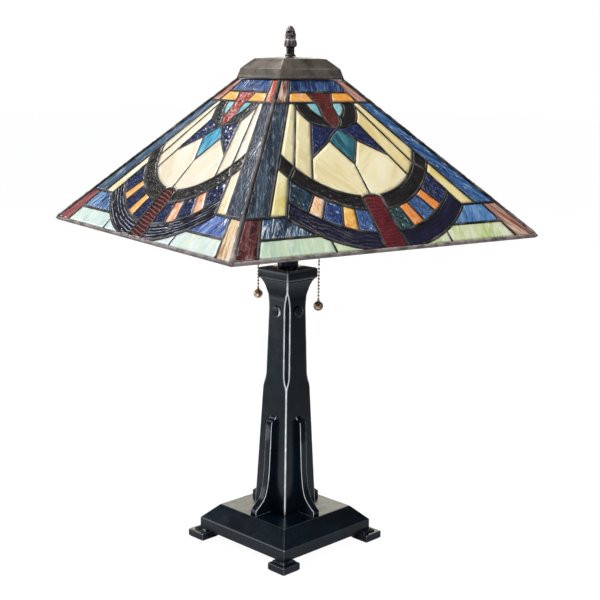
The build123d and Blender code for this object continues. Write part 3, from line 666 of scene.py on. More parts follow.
def came_faces():
    """The leaded seams of each face: one web of rounded solder, proud of the glass on both sides."""
    loops = [resampled(loop, CAME_STEP) for loop in boundary_loops("came_panels")]
    dense = [p for loop in loops for p in resampled(loop, 0.35)]
    tree = tree_of(dense)
    web = Solid(loops, offset_points(loops, FRONT_OFFSETS, tree, 0.6), offset_points(loops, BACK_OFFSETS, tree, 1.0))
    outward = {}
    for loop in loops:
        for a, b, c in zip(loop[-1:] + loop[:-1], loop, loop[1:] + loop[:1]):
            tangent = (c - a).normalized()
            outward[(round(b.x, 3), round(b.y, 3))] = Vector((tangent.y, -tangent.x))

    def dome(point):
        depth = min(tree.find((point[0], point[1], 0))[2], SEAM_HALF)
        return math.sqrt(max(0.0, 1 - (1 - depth / SEAM_HALF) ** 2))

    for turn in QUARTER_TURNS:
        def lump(point, scale, turn=turn):
            return wobble((point[0], point[1], 0), scale, turn + 1)

        def front_height(point, edge):
            if edge:
                return SEAM_EDGE
            arch = dome(point)
            return SEAM_EDGE + arch * (SEAM_RISE + 0.4 * lump(point, 8.0) + 0.24 * lump(point, 3.0))

        def back_height(point, edge):
            if edge:
                return SEAM_BACK_EDGE
            return SEAM_BACK_EDGE - dome(point) * (1.25 + 0.3 * lump(point, 8.0))

        def spread(point):
            out = outward.get((round(point[0], 3), round(point[1], 3)), Vector((0, 0)))
            return Vector(point) + out * (SEAM_OVERHANG + 0.34 * lump(point, 5.0))

        builder = FaceBuilder()
        web.build(builder, turn, front_height, back_height, spread)
        wear_and_highlight = [max(0.0, wobble((p[0], p[1], 0), 16.0, turn + 5) * 0.7) for p, _ in builder.flat]
        replaced = ("came_panels",)
        name = f"came_panel_{turn + 1}"
        add_piece(name, builder.verts, builder.faces, "shade", "solder", replaced, {"wear_and_highlight": wear_and_highlight})


# ---------------------------------------------------------------- glass
# For each colour: ripple kind, pitch, height, turn of the ridges from the pane's long axis, point spacing.
RIPPLES = {
    "glass_cream": ("wisp", 16.0, 0.12, 0.0, 4.0),
    "glass_amber": ("wisp", 11.0, 0.16, 0.0, 3.0),
    "glass_navy": ("hammer", 4.6, 0.62, 0.0, 1.25),
    "glass_denim": ("wave", 5.6, 0.16, 64.0, 1.6),
    "glass_rust": ("wisp", 5.5, 0.30, 0.0, 1.8),
    "glass_pale_green": ("wisp", 9.0, 0.16, 0.0, 3.0),
    "glass_sky_blue": ("wave", 5.0, 0.24, 18.0, 1.4),
    "glass_purple": ("ring", 5.2, 0.44, 0.0, 1.3),
    "glass_black": ("hammer", 4.4, 0.45, 0.0, 1.45),
    "glass_crimson": ("ladder", 5.2, 0.24, 0.0, 1.2),
    "glass_teal": ("wave", 8.0, 0.22, 25.0, 1.5),
}
# Turn of each colour's streaks from its panes' long axes, where they don't follow them.
STREAK_TURN = {"glass_pale_green": 84.0, "glass_sky_blue": 70.0, "glass_denim": 8.0}
RING_CENTRE = Vector((0.0, 185.0))

# Tones of the panes: deep, body, pale, strand, then how many strands. The pale strand tones of the sky blue, purple,
# black and crimson glass are painted glints off their ripples.
TONES = {
    "glass_cream": ("E0D2B6", "EBE0C8", "F2E9D8", "FFF8EC", 0.1),
    "glass_amber": ("E0964A", "F0B060", "F6C888", "FBE2BC", 0.2),
    "glass_navy": ("060818", "0E1536", "1C2858", "8C9CD8", 0.6),
    "glass_denim": ("1A2230", "2A3646", "465666", "C8D4DE", 0.3),
    "glass_rust": ("7A3A28", "B07058", "E0C0A0", "F2E2D0", 0.2),
    "glass_pale_green": ("C4D8D4", "D4E2DC", "E2E8C4", "F4F8F8", 0.5),
    "glass_sky_blue": ("1E3460", "3C6494", "6C94BC", "D4E2F0", 0.6),
    "glass_purple": ("06050C", "0C0B18", "16142A", "C0C4D4", 0.6),
    "glass_black": ("060504", "0E0B0A", "181210", "D0C8C0", 0.5),
    "glass_crimson": ("200A08", "3A1210", "521C18", "9A685C", 0.7),
    "glass_teal": ("5CA0A8", "86C0C4", "B4DCD8", "D8F0EC", 0.2),
}
# Plainer glass of two colours on every second face: greyer denim, and black glass without the painted white glints of
# its usual tones.
PLAINER = {
    "glass_black": ("0A0807", "14100E", "201916", "5A5048", 0.2),
    "glass_denim": ("1E2630", "303C4A", "4C5C6C", "B8C8D4", 0.5),
}
# Panes with tones of their own: face of a pair (0 or 1), a point inside the pane, tones. On blue, purple and red
# panes the near-white strand tones are painted glints, laid on more heavily on the face of a pair that glints; the
# red pane at (0, 212) is flecked with painted white glints.
OWN_TONES = [
    (0, (128, 84), ("E6CF8A", "F0E0B4", "F8ECD0", "FFF8EC", 0.2)),
    (0, (-128, 84), ("DCCB98", "EADFBC", "F4ECD2", "FFF8EC", 0.1)),
    (0, (48, 50.5), ("D87848", "EDA070", "F8DCC8", "FFF0E8", 0.3)),
    (0, (82.2, 69.2), ("D87848", "F0A478", "F8DCC8", "FFF0E8", 0.3)),
    (0, (30, 233), ("E89A3A", "F4B85C", "FADC9C", "FFF0D0", 0.2)),
    (0, (-30, 233), ("E89A3A", "F4B460", "FAD49C", "FFF0D0", 0.2)),
    (0, (-118, 140), ("263444", "40566E", "6A86A0", "C4D2DE", 0.6)),
    (0, (193, 30), ("8A4428", "E8CFA4", "F6ECD8", "A83C30", 0.5)),
    (0, (-193, 30), ("6A2A30", "8E4A4C", "B07A78", "D0A8A0", 0.2)),
    (0, (55, 240), ("96301E", "C8553A", "E8CDB0", "FFF0E8", 0.4)),
    (0, (-55, 240), ("8A5048", "B87868", "D8A898", "ECD4C8", 0.2)),
    (0, (72, 10), ("C8DCDC", "DCE8EA", "EEF4F4", "FFFFFF", 0.2)),
    (0, (-72, 10), ("C0D4D4", "D6E4E6", "EAF2F2", "FFFFFF", 0.2)),
    (0, (-140, 16), ("B8D0C8", "CFE0DA", "E0E8D0", "F0F6F4", 0.3)),
    (0, (145, 43), ("2A3C74", "3E5EA4", "7890C4", "D0DCF4", 0.6)),
    (0, (0, 250), ("14224A", "203A6C", "36588C", "90ACCC", 0.5)),
    (0, (0, 212), ("6A1210", "9C2420", "B43830", "FFECE4", 1.0)),
    (0, (0, 155), ("24708C", "4A9CBC", "6CB4D0", "A8D8E4", 0.3)),
    (1, (35, 120), ("EAD8A0", "F4E6B8", "FAEFCC", "FFF8E0", 0.1)),
    (1, (-35, 120), ("EAD8A0", "F4E6B8", "FAEFCC", "FFF8E0", 0.1)),
    (1, (71, 180), ("E2CC88", "ECDA9E", "F4E6B4", "FFF8E0", 0.1)),
    (1, (58, 165), ("E2CC88", "ECDA9E", "F4E6B4", "FFF8E0", 0.1)),
    (1, (-71, 180), ("D8CB96", "E6DAA8", "EEE4BC", "FFF8E0", 0.1)),
    (1, (-58, 165), ("DCCE98", "EADDAA", "F0E6BC", "FFF8E0", 0.1)),
    (1, (-128, 84), ("DCC668", "EADB98", "F4ECC4", "FFF4D0", 0.3)),
    (1, (128, 84), ("E0C878", "EAD48C", "F4E2A8", "FFF4D0", 0.1)),
    (1, (-82.2, 69.2), ("E89858", "F6D0A0", "FBE8D4", "FFF4EC", 0.3)),
    (1, (-48, 50.5), ("E08830", "F6B050", "F8D070", "FBE8B0", 0.2)),
    (1, (48, 50.5), ("D87830", "E8904A", "F0A868", "F8C890", 0.1)),
    (1, (82.2, 69.2), ("D87830", "E88C44", "F0A060", "F8C890", 0.1)),
    (1, (-30, 233), ("F0A430", "F2B04C", "F6C0B4", "E07C74", 0.3)),
    (1, (30, 233), ("E0882C", "F0A040", "F6BC60", "FBDC98", 0.1)),
    (1, (-100.4, 84.6), ("0E1A24", "1A2C3C", "2C4A5C", "6A9098", 0.3)),
    (1, (-64.5, 58.5), ("12204A", "22386E", "3C5C9C", "90B0D8", 0.4)),
    (1, (-27.1, 45.6), ("1C3058", "2C4C84", "4C74AC", "C0D4E8", 0.5)),
    (1, (27.1, 45.6), ("0E2024", "1A343A", "2E5A58", "90B8B0", 0.4)),
    (1, (64.5, 58.5), ("182C50", "2A4A7C", "4C74A8", "A8C4E0", 0.5)),
    (1, (28, 176), ("0B0F2A", "141A40", "242C5E", "6074B0", 0.35)),
    (1, (-28, 176), ("0B0F2A", "141A40", "242C5E", "6074B0", 0.35)),
    (1, (118, 140), ("12305C", "2A5688", "5A86B4", "C8DEF2", 0.7)),
    (1, (-193, 30), ("2A0A0C", "4A1618", "6A2828", "D0A8A0", 0.2)),
    (1, (193, 30), ("7A4438", "A87464", "DCC4A8", "ECDCC8", 0.3)),
    (1, (-55, 240), ("3A1814", "7A4438", "D8BCA0", "F4E8D8", 0.4)),
    (1, (55, 240), ("8A5044", "B07C6C", "CCA494", "E0C8BC", 0.2)),
    (1, (-72, 10), ("A0C8B0", "CCDEB0", "E6ECC8", "F4F8F0", 0.4)),
    (1, (-140, 16), ("B0D0BC", "CCE0BC", "E4EAC8", "F4F8F0", 0.5)),
    (1, (140, 16), ("A8C470", "D4DCA4", "ECECDC", "F6F6F0", 0.5)),
    (1, (72, 10), ("B0C888", "CEDAA4", "E0E8C8", "F4F8F0", 0.3)),
    (1, (-145, 43), ("1A2430", "34506C", "7894AC", "F0F6FA", 0.8)),
    (1, (145, 43), ("2C5484", "4A78AC", "6E9AC6", "B0CCE4", 0.4)),
    (1, (0, 250), ("101E40", "1A3260", "2E4E80", "7C9CC0", 0.4)),
    (1, (85.5, 36.9), ("0A0818", "130F2A", "1E193A", "2E2C52", 0.3)),
    (1, (-85.5, 36.9), ("0A0818", "120F26", "1C1834", "2E2C52", 0.3)),
    (1, (0, 40), ("38080E", "540E18", "6C1620", "903038", 0.25)),
    (1, (0, 212), ("3A0E0C", "541A14", "66261E", "8C4030", 0.15)),
    (1, (0, 155), ("1A4650", "28606E", "387A88", "7AB0B4", 0.2)),
]


def contains(loop, point):
    """True if the point is inside the closed outline."""
    odd = False
    x, y = point
    for (x0, y0), (x1, y1) in zip(loop, loop[1:] + loop[:1]):
        if (y0 > y) != (y1 > y) and x < (x1 - x0) * (y - y0) / (y1 - y0) + x0:
            odd = not odd
    return odd


def tones_of(node, turn, loop):
    """The tones of one pane: its own if the table has them, or its colour's."""
    for face, point, tones in OWN_TONES:
        if face == turn % 2 and contains(loop, point):
            return tones
    return PLAINER[node] if turn % 2 and node in PLAINER else TONES[node]


def long_axis(loop):
    """Centre and direction of the longest extent of an outline."""
    centre = sum(loop, Vector((0, 0))) / len(loop)
    xx = sum((p.x - centre.x) ** 2 for p in loop)
    yy = sum((p.y - centre.y) ** 2 for p in loop)
    xy = sum((p.x - centre.x) * (p.y - centre.y) for p in loop)
    angle = 0.5 * math.atan2(2 * xy, xx - yy)
    return centre, angle


def ripple(kind, pitch, height, s, t, seed):
    """Height of the glass surface at a point along (s) and across (t) its ripple."""
    place = Vector((s, t, 0))
    if kind == "ring":
        bend = 1.1 * wobble(place, 20.0, seed) + 0.4 * wobble(place, 7.0, seed + 2)
        return height * (0.7 + 0.6 * wobble(place, 12.0, seed + 4)) * math.sin(2 * math.pi * (s / pitch + bend))
    if kind == "wave":
        bend = 1.3 * wobble(place, 24.0, seed) + 0.5 * wobble(place, 9.0, seed + 2)
        strength = 0.62 + 0.75 * wobble(place, 14.0, seed + 4)
        return height * strength * math.sin(2 * math.pi * (s / pitch + bend))
    if kind == "ladder":
        return height * math.sin(2 * math.pi * (s / pitch + 0.35 * wobble(place, 16.0, seed)))
    if kind == "hammer":
        broad = wobble(place, pitch, seed)
        fine = wobble(place, pitch * 0.45, seed + 3)
        return height * (0.9 * broad + 0.35 * (abs(fine) * 2 - 0.4))
    return height * (wobble(place, pitch, seed) + 0.4 * wobble(place, pitch * 0.35, seed + 2))


def grid_inside(loop, spacing, tree):
    """Staggered rows of points inside an outline, a little clear of it."""
    low_u, high_u = min(p.x for p in loop), max(p.x for p in loop)
    low_v, high_v = min(p.y for p in loop), max(p.y for p in loop)
    points = []
    row_height = spacing * 0.866
    rows = int((high_v - low_v) / row_height)
    for row in range(1, rows + 1):
        v = low_v + row * row_height
        crossings = []
        for (x0, y0), (x1, y1) in zip(loop, loop[1:] + loop[:1]):
            if (y0 > v) != (y1 > v):
                crossings.append(x0 + (x1 - x0) * (v - y0) / (y1 - y0))
        crossings.sort()
        for start, end in zip(crossings[::2], crossings[1::2]):
            first = math.ceil((start - low_u) / spacing - row % 2 / 2)
            u = low_u + (first + row % 2 / 2) * spacing
            while u < end:
                if tree.find((u, v, 0))[2] > spacing * 0.45:
                    points.append(Vector((u, v)))
                u += spacing
    return points


def flow(kind, point, centre, axis):
    """Distances along and across a pane's ripple; round the ring they are its radius and its arc."""
    if kind == "ring":
        offset = Vector(point) - RING_CENTRE
        return offset.length, offset.length * math.atan2(offset.x, -offset.y)
    offset = Vector(point) - centre
    c, s = math.cos(axis), math.sin(axis)
    return offset.x * c + offset.y * s, offset.y * c - offset.x * s


def glass_pieces():
    """Every colour of glass: rippled in front, smooth behind, with its own streaks in each pane."""
    rng = random.Random(11)
    for node, (kind, pitch, height, ridge_turn, spacing) in RIPPLES.items():
        builder = FaceBuilder()
        layers = {"grain": [], "deep": [], "body": [], "pale": [], "strand_and_glint": [], "strands_and_glints": []}
        for loop in boundary_loops(node):
            outline = resampled(loop, spacing * 1.2)
            tree = tree_of(resampled(loop, 0.8))
            sheet = Solid([outline], grid_inside(outline, spacing, tree), [])
            centre, angle = long_axis(outline)
            for turn in QUARTER_TURNS:
                seed = rng.uniform(1, 90)
                depth = height * (0.3 if kind == "ring" and turn % 2 else 1.0)
                lean = rng.uniform(-9, 9)
                axis = angle + math.radians(ridge_turn + lean * (kind == "wisp"))
                drawn = angle + math.radians(lean + STREAK_TURN.get(node, 0.0))

                def front_height(point, edge):
                    along, across = flow(kind, point, centre, axis)
                    return GLASS_FRONT + ripple(kind, pitch, depth, along, across, seed)

                before = len(builder.flat)
                sheet.build(builder, turn, front_height, lambda point, edge: GLASS_BACK)
                tones = tones_of(node, turn, loop)
                count = len(builder.flat) - before
                for key, tone in zip(("deep", "body", "pale", "strand_and_glint"), tones):
                    layers[key] += [rgb(tone)[:3]] * count
                layers["strands_and_glints"] += [tones[4]] * count
                for point, _ in builder.flat[before:]:
                    along, across = flow(kind, point, centre, drawn)
                    if kind == "ring":
                        along, across = across, along
                    layers["grain"].append((along, across, seed))
        slot = node.replace("glass_", "") + "_glass"
        slot = "charcoal_glass" if slot == "black_glass" else slot
        add_piece("panes_" + node[6:], builder.verts, builder.faces, "shade", slot, (node,), layers)


# ---------------------------------------------------------------- ridges and rim
RIDGE_R = 3.1
RIDGE_SINK = 2.0
RIDGE_STEP = 2.4
RIM_HEIGHT = 4.0
RIM_DEPTH = 5.2


def ridge_beads():
    """The heavy, slightly uneven solder beads down the four ridges."""
    low = Vector((RIM_HALF, -RIM_HALF, RIM_Z))
    along = Vector((-1, 1, STEEPNESS / NARROWING)).normalized()
    high = low + along * ((CAP_LOW.z / MM + 1.0 - RIM_Z) / along.z)
    across = Vector((1, 1, 0)).normalized()
    inward = along.cross(across).normalized()
    if inward.z > 0:
        inward = -inward
    count = int((high - low).length / RIDGE_STEP)
    sides = 20
    builder = Builder()
    for turn in QUARTER_TURNS:
        spin = Matrix.Rotation(SHADE_YAW + turn * math.pi / 2, 3, "Z")
        verts, wear_and_highlight = [], []
        for i in range(count + 1):
            share = i / count
            end = min(1.0, min(i, count - i) / 2.0 + 0.35)
            centre = low.lerp(high, share) + inward * RIDGE_SINK + along * 2.0 * (1 - share)
            swell = 0.5 * wobble((i * RIDGE_STEP, 0, 0), 26.0, turn + 1) + 0.3 * wobble((i * RIDGE_STEP, 0, 0), 8.0, turn + 3)
            for j in range(sides):
                angle = 2 * math.pi * j / sides
                radius = (RIDGE_R - 0.2 + 0.5 * swell) * end
                direction = across * math.cos(angle) - inward * math.sin(angle)
                dent = 0.6 * wobble((i * RIDGE_STEP, math.cos(angle) * 5, math.sin(angle) * 5), 4.5, turn + 7)
                verts.append((spin @ (centre + direction * (radius + dent * end))) * MM)
                rubbed = 0.1 + 0.6 * wobble((i * RIDGE_STEP, j, 0), 12.0, turn + 11)
                wear_and_highlight.append(max(0.0, rubbed, 1.1 - 4.5 * share))
        faces = ring_faces(count + 1, sides)
        faces.append(list(range(sides))[::-1])
        faces.append([count * sides + j for j in range(sides)])
        builder.add(verts, faces, wear_and_highlight)
    return builder.piece("ridge_beads", "shade", "solder", ("corner_seams",))


def rim_bars():
    """The channel round the shade's lower edge, mitred at the corners and rounded in section."""
    stations = 72
    section = []
    for i in range(14):
        angle = 2 * math.pi * i / 14
        c, s = math.cos(angle), math.sin(angle)
        v = RIM_HEIGHT / 2 * (1 + math.copysign(abs(c) ** 0.6, c))
        w = -RIM_DEPTH / 2 * (1 - math.copysign(abs(s) ** 0.6, s))
        section.append((v, w))
    verts, wear_and_highlight = [], []
    for turn in QUARTER_TURNS:
        for station in range(stations):
            share = 2 * station / stations - 1
            for v, w in section:
                half = RIM_HALF - v * NARROWING + w * STEEPNESS
                u = share * half
                lump = 0.16 * wobble((u, v * 3, turn * 50), 14.0) - 0.08
                verts.append(on_face(u, v - 0.15 * (v - 2) * lump, w * (1 + 0.1 * lump) - 0.05 + lump * 0.5, turn))
                wear_and_highlight.append(1.1 + 0.3 * wobble((u, turn * 40, 0), 22.0, 2))
    faces = ring_faces(4 * stations, len(section), True)
    builder = Builder()
    builder.add(verts, faces, wear_and_highlight)
    return builder.piece("rim_bars", "shade", "solder", ("rim_channel",))


# ---------------------------------------------------------------- cap and finial
CAP_FACES = [(50.5, 623.0), (49.7, 626.5), (46.9, 636.2), (33.8, 648.8), (9.5, 651.1), (3.7, 651.2)]
CAP_SHEET = 1.3


def divided(path, step):
    """The path with long stretches divided, keeping each point's edge mark only at the points given."""
    out = []
    for a, b in zip(path, path[1:]):
        length = math.hypot(b[0] - a[0], b[1] - a[1])
        parts = max(1, round(length / step))
        out.append(a)
        out += [
            (a[0] + (b[0] - a[0]) * i / parts, a[1] + (b[1] - a[1]) * i / parts, 0.0)
            for i in range(1, parts)
        ]
    return out + [path[-1]]


def vase_cap():
    """The stamped square cap: crisp folds, a small lip and shallow dents."""
    outside = rounded_path(CAP_FACES, 0.7, guard=1.4)
    inside = [(half - CAP_SHEET * 1.1, z - CAP_SHEET * 0.9, 0.0) for half, z in reversed(CAP_FACES[1:-1])]
    inside.insert(0, (3.7, 650.0, 0.0))
    inside.append((49.7, 623.6, 0.0))
    path = divided(outside, 3.5) + inside

    def dents(point):
        deep = 0.5 * wobble(point, 17.0, 1) + 0.2 * wobble(point, 6.0, 2) - 0.3
        flat = point.xy.normalized()
        return Vector((flat.x * deep, flat.y * deep, deep * 0.3)) * 0.85 * min(1.0, max(0.0, point.z - 623.0) / 3)

    builder = Builder()
    builder.add(*square_loft(path, 1.3, 0.6, True, yaw=SHADE_YAW, rough=dents, rub_and_highlight=0.3))
    return builder.piece("vase_cap", "shade", "cap_patina", ("shade_cap",))


FINIAL_FLUTES = 10
FINIAL_LEAVES = 6
FINIAL_LOW, FINIAL_HIGH = (corner.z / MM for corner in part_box("finial"))


def finial_shape(radius, angle, z):
    """Flutes on the bulge and rows of leaves up the tip."""
    h = z - FINIAL_LOW
    if 11.5 < h < 21.5:
        depth = math.sin((h - 11.5) / 10.0 * math.pi)
        return radius * (1 - 0.17 * depth * (0.5 - 0.5 * math.cos(FINIAL_FLUTES * angle)) ** 1.5)
    if h > 21.5:
        row = (h - 21.5) / 5.2
        part = row - int(row)
        ridge = abs(math.cos(FINIAL_LEAVES * angle / 2 + math.pi / 2 * (int(row) % 2)))
        return radius * (1 - 0.16 * (1 - ridge) * math.sin(part * math.pi) - 0.10 * part)
    return radius


def finial():
    """The screw-on finial: a flange, a straight neck, a fluted bulge and a leafy, blunt tip."""
    z = FINIAL_LOW
    outline = [
        (3.3, z), (6.9, z), (7.0, z + 1.5), (6.2, z + 2.5), (5.3, z + 3.4), (5.2, z + 10.8), (5.7, z + 11.5),
        (8.0, z + 12.8), (8.5, z + 15.6), (8.1, z + 18.2), (7.4, z + 20.2), (6.5, z + 21.6), (7.3, z + 23.4),
        (7.4, z + 26.0), (6.9, z + 29.0), (6.1, z + 32.0), (4.9, z + 34.8), (3.1, z + 37.2), (0.0, FINIAL_HIGH),
    ]
    path = []
    for (r0, z0), (r1, z1) in zip(outline, outline[1:]):
        for i in range(4):
            height = z0 + (z1 - z0) * i / 4
            path.append((r0 + (r1 - r0) * i / 4, height, 0.7 if height - z > 12 else 0.15))
    path.append((0.0, FINIAL_HIGH, 0.6))
    bore = [(0.0, z + 19, 0.0), (3.3, z + 17.5, 0.0), (3.3, z + 0.4, 0.0)]
    builder = Builder()
    builder.add(*lathe(bore + path, 60, finial_shape))
    return builder.piece("finial_cast", "finial", "bronze", ("finial",))


# ---------------------------------------------------------------- base and column
COLUMN_TAPER = [(29.6, 46.8), (28.8, 71.6), (22.5, 223.0), (19.8, 337.0)]
FLARE = [(19.8, 337.0), (21.2, 352.5), (26.2, 364.0)]
STOP_LOW = (219.0, 236.0)
STOP_HIGH = (323.0, 348.0)
STOP_LEG = 5.6
PLAIN_CORNER = 1.2
COLUMN_WALL = 4.5


def interpolated(points, z):
    for (w0, z0), (w1, z1) in zip(points, points[1:]):
        if z <= z1:
            return w0 + (w1 - w0) * (z - z0) / (z1 - z0)
    return points[-1][0]


def flare_half(z):
    """Half width on the circular flare through its three points."""
    (x1, y1), (x2, y2), (x3, y3) = FLARE
    d = 2 * (x1 * (y2 - y3) + x2 * (y3 - y1) + x3 * (y1 - y2))
    cx = ((x1**2 + y1**2) * (y2 - y3) + (x2**2 + y2**2) * (y3 - y1) + (x3**2 + y3**2) * (y1 - y2)) / d
    cy = ((x1**2 + y1**2) * (x3 - x2) + (x2**2 + y2**2) * (x1 - x3) + (x3**2 + y3**2) * (x2 - x1)) / d
    radius = math.hypot(x1 - cx, y1 - cy)
    return cx - math.sqrt(max(0.0, radius**2 - (z - cy) ** 2))


def column_half(z):
    return interpolated(COLUMN_TAPER, z) if z <= COLUMN_TAPER[-1][1] else flare_half(z)


def column_corner(half, z):
    """Leg of the corner chamfer, which runs out in a curved tongue at each end."""
    (tip_low, flat_low), (flat_high, tip_high) = STOP_LOW, STOP_HIGH
    if tip_low < z < flat_low:
        share = (z - tip_low) / (flat_low - tip_low)
        return PLAIN_CORNER + (STOP_LEG - PLAIN_CORNER) * (1 - (1 - share) ** 1.7)
    if flat_high < z < tip_high:
        share = (tip_high - z) / (tip_high - flat_high)
        return PLAIN_CORNER + (STOP_LEG - PLAIN_CORNER) * (1 - (1 - share) ** 1.7)
    if flat_low <= z <= flat_high:
        return STOP_LEG
    return PLAIN_CORNER


def column():
    """The tapered square column, hollow, with its stopped chamfers and the flare under the capital."""
    bottom, top = (corner.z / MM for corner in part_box("column_body"))
    heights = [bottom]
    z = bottom
    while z < top - 1.0:
        fine = STOP_LOW[0] - 2 < z < STOP_LOW[1] + 2 or STOP_HIGH[0] - 2 < z
        z += 1.6 if fine else 6.0
        heights.append(min(z, top))
    if heights[-1] < top:
        heights.append(top)
    outside = [(column_half(z), z, 0.0) for z in heights]
    inside = [(column_half(z) - COLUMN_WALL, z, 0.0) for z in reversed(heights[::6])]
    builder = Builder()
    builder.add(*square_loft(outside + inside, column_corner, 1.4, True))
    return builder.piece("column_casting", "stand", "cast_black", ("column_body",))


def base_plate():
    """The hollow cast base: a band, a sloped bevel and a flat plateau."""
    low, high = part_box("base_plate")
    band, bottom, top = high.x / MM, low.z / MM, high.z / MM
    plateau, band_top, wall = 63.0, 27.4, 5.0
    outline = [
        (band - wall, bottom), (band, bottom), (band, band_top), (plateau, top), (8.0, top),
        (8.0, top - wall), (plateau - 4, top - wall - 0.8), (band - wall, band_top - 2),
    ]
    builder = Builder()
    builder.add(*square_loft(rounded_path(outline, 1.0, closed=True), 0.8, 0.5, True, rub_and_highlight=0.06))
    land = [(7.0, bottom + 0.02, 0.0), (7.0, bottom + 13.0, 0.0)]
    for sx in (1, -1):
        for sy in (1, -1):
            at = (sx * (band - wall - 6.0), sy * (band - wall - 6.0))
            builder.add(*square_loft(land, 1.0, 0.5, False, at=at))
    return builder.piece("base_casting", "stand", "cast_black", ("base_plate",))


def feet():
    """Four square feet, each with the small neck that carries the base's corner."""
    low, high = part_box("corner_feet")
    out, bottom, top = high.x / MM, low.z / MM, high.z / MM
    foot_half, neck_half, foot_top = 15.0, 11.0, top - 1.5
    foot_at, neck_at = out - foot_half, 88.0 - neck_half
    foot = rounded_path([(3.0, bottom), (foot_half, bottom), (foot_half, foot_top), (3.0, foot_top)], 1.2, guard=1.2)
    neck = [(neck_half, foot_top - 0.5, 0.0), (neck_half, top, 0.0)]
    builder = Builder()
    for sx in (1, -1):
        for sy in (1, -1):
            builder.add(*square_loft(foot, 0.8, 0.5, False, at=(sx * foot_at, sy * foot_at), rub_and_highlight=0.1))
            builder.add(*square_loft(neck, 1.0, 0.5, False, at=(sx * neck_at, sy * neck_at), rub_and_highlight=0.1))
    return builder.piece("feet_castings", "stand", "cast_black", ("corner_feet",))


def capital():
    """The square block on the column, with rounded corners and a low pyramid on top."""
    low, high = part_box("capital")
    half, bottom, top = high.x / MM, low.z / MM, high.z / MM
    outline = [
        (half - 1.4, bottom), (half, bottom + 2.0), (half, top - 2.6), (15.8, top), (5.2, top), (5.2, bottom),
    ]
    builder = Builder()
    path = [(r, z, 0.2 * wear_and_highlight) for r, z, wear_and_highlight in rounded_path(outline, 3.4, closed=True)]
    arris = lambda _, z: 1.2 if z < top - 4.0 else 0.15
    builder.add(*square_loft(path, arris, 0.8, True, rub_and_highlight=0.45))
    return builder.piece("capital_casting", "stand", "cast_black", ("capital",))


FIN_T = 10.8
FIN_EASE = 0.8


def fin_outline():
    """Side outline of a fin in (distance from the axis, height), and which of its points lie in the open."""
    low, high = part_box("buttress_fins")
    nose, top, heel = high.x / MM, high.z / MM, low.z / MM
    shoulder = (32.4, top - 8.0)
    cove = [curve_point((column_half(top), top), (27.4, top - 7.6), shoulder, i / 6) for i in range(7)]
    front = [shoulder, (34.0, 140.0), (35.6, 110.0)]
    sweep = [curve_point((35.6, 110.0), (37.4, 80.4), (43.4, 69.6), i / 8) for i in range(1, 9)]
    sweep += [curve_point((43.4, 69.6), (46.6, 63.6), (nose, 54.0), i / 8) for i in range(1, 9)]
    outside = cove + front[1:] + sweep + [(nose, heel)]
    inside = [(20.0, heel), (20.0, top)]
    return outside + inside


def fins():
    """Four buttress fins: flat cheeks, a swept front edge and small rounded arrises."""
    outline = fin_outline()
    thick = FIN_T / 2
    normals = []
    for a, b, c in zip(outline[-1:] + outline[:-1], outline, outline[1:] + outline[:1]):
        before = (Vector(b) - Vector(a)).normalized()
        after = (Vector(c) - Vector(b)).normalized()
        out = Vector((before.y + after.y, -before.x - after.x))
        normals.append(-out.normalized())
    rows = []
    # The middle of each eased arris carries the edge mark, the cast black's painted edge highlight.
    for step in range(5):
        angle = math.pi / 2 * step / 4
        rows.append((thick - FIN_EASE * (1 - math.sin(angle)), FIN_EASE * (1 - math.cos(angle)), math.sin(2 * angle)))
    section = [(-y, inset, wear_and_highlight) for y, inset, wear_and_highlight in reversed(rows)] + rows
    builder = Builder()
    count = len(outline)
    for turn in QUARTER_TURNS:
        spin = Matrix.Rotation(turn * math.pi / 2, 3, "Z")
        verts, wear_and_highlight = [], []
        for y, inset, rub_and_highlight in section:
            for (r, z), normal in zip(outline, normals):
                verts.append(spin @ Vector((r - normal.x * inset, y, z - normal.y * inset)) * MM)
                wear_and_highlight.append(rub_and_highlight)
        faces = ring_faces(len(section), count)
        faces.append(list(range(count))[::-1])
        faces.append([(len(section) - 1) * count + i for i in range(count)])
        builder.add(verts, faces, wear_and_highlight)
    piece = builder.piece("fin_castings", "stand", "cast_black", ("buttress_fins",))
    piece.data.polygons.foreach_set("use_smooth", [len(p.vertices) == 4 for p in piece.data.polygons])
    return piece


def pegs():
    """Domed round pegs near the column's top, one on each side."""
    low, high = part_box("peg_buttons")
    reach, height, radius = high.x / MM, (low.z + high.z) / 2 / MM, (high.z - low.z) / 2 / MM
    outline = [
        (0.0, reach - 6.0), (radius, reach - 6.0), (radius, reach - 1.7), (radius - 0.5, reach - 0.8),
        (radius - 1.6, reach - 0.3), (radius - 4.0, reach - 0.08), (0.0, reach),
    ]
    verts, faces, wear_and_highlight = lathe([(r, h, 1.0 if reach - 1.8 < h < reach - 0.5 else 0.0) for r, h in outline], 40)
    builder = Builder()
    # Only one side of each peg's rim keeps the mark: a painted highlight crescent.
    wear_and_highlight = [w * max(0.0, v.y / v.xy.length) ** 2 if v.xy.length else 0.0 for v, w in zip(verts, wear_and_highlight)]
    for turn in QUARTER_TURNS:
        spin = Matrix.Rotation(turn * math.pi / 2, 3, "Z") @ Matrix.Rotation(math.pi / 2, 3, "Y")
        builder.add([spin @ v + Vector((0, 0, height * MM)) for v in verts], faces, wear_and_highlight)
    return builder.piece("peg_heads", "stand", "cast_black", ("peg_buttons",))


# ---------------------------------------------------------------- pull chains
BEAD_PITCH = 4.4
BEAD_R = 1.6
LINK_R = 0.45
HINGE_REACH = 0.6


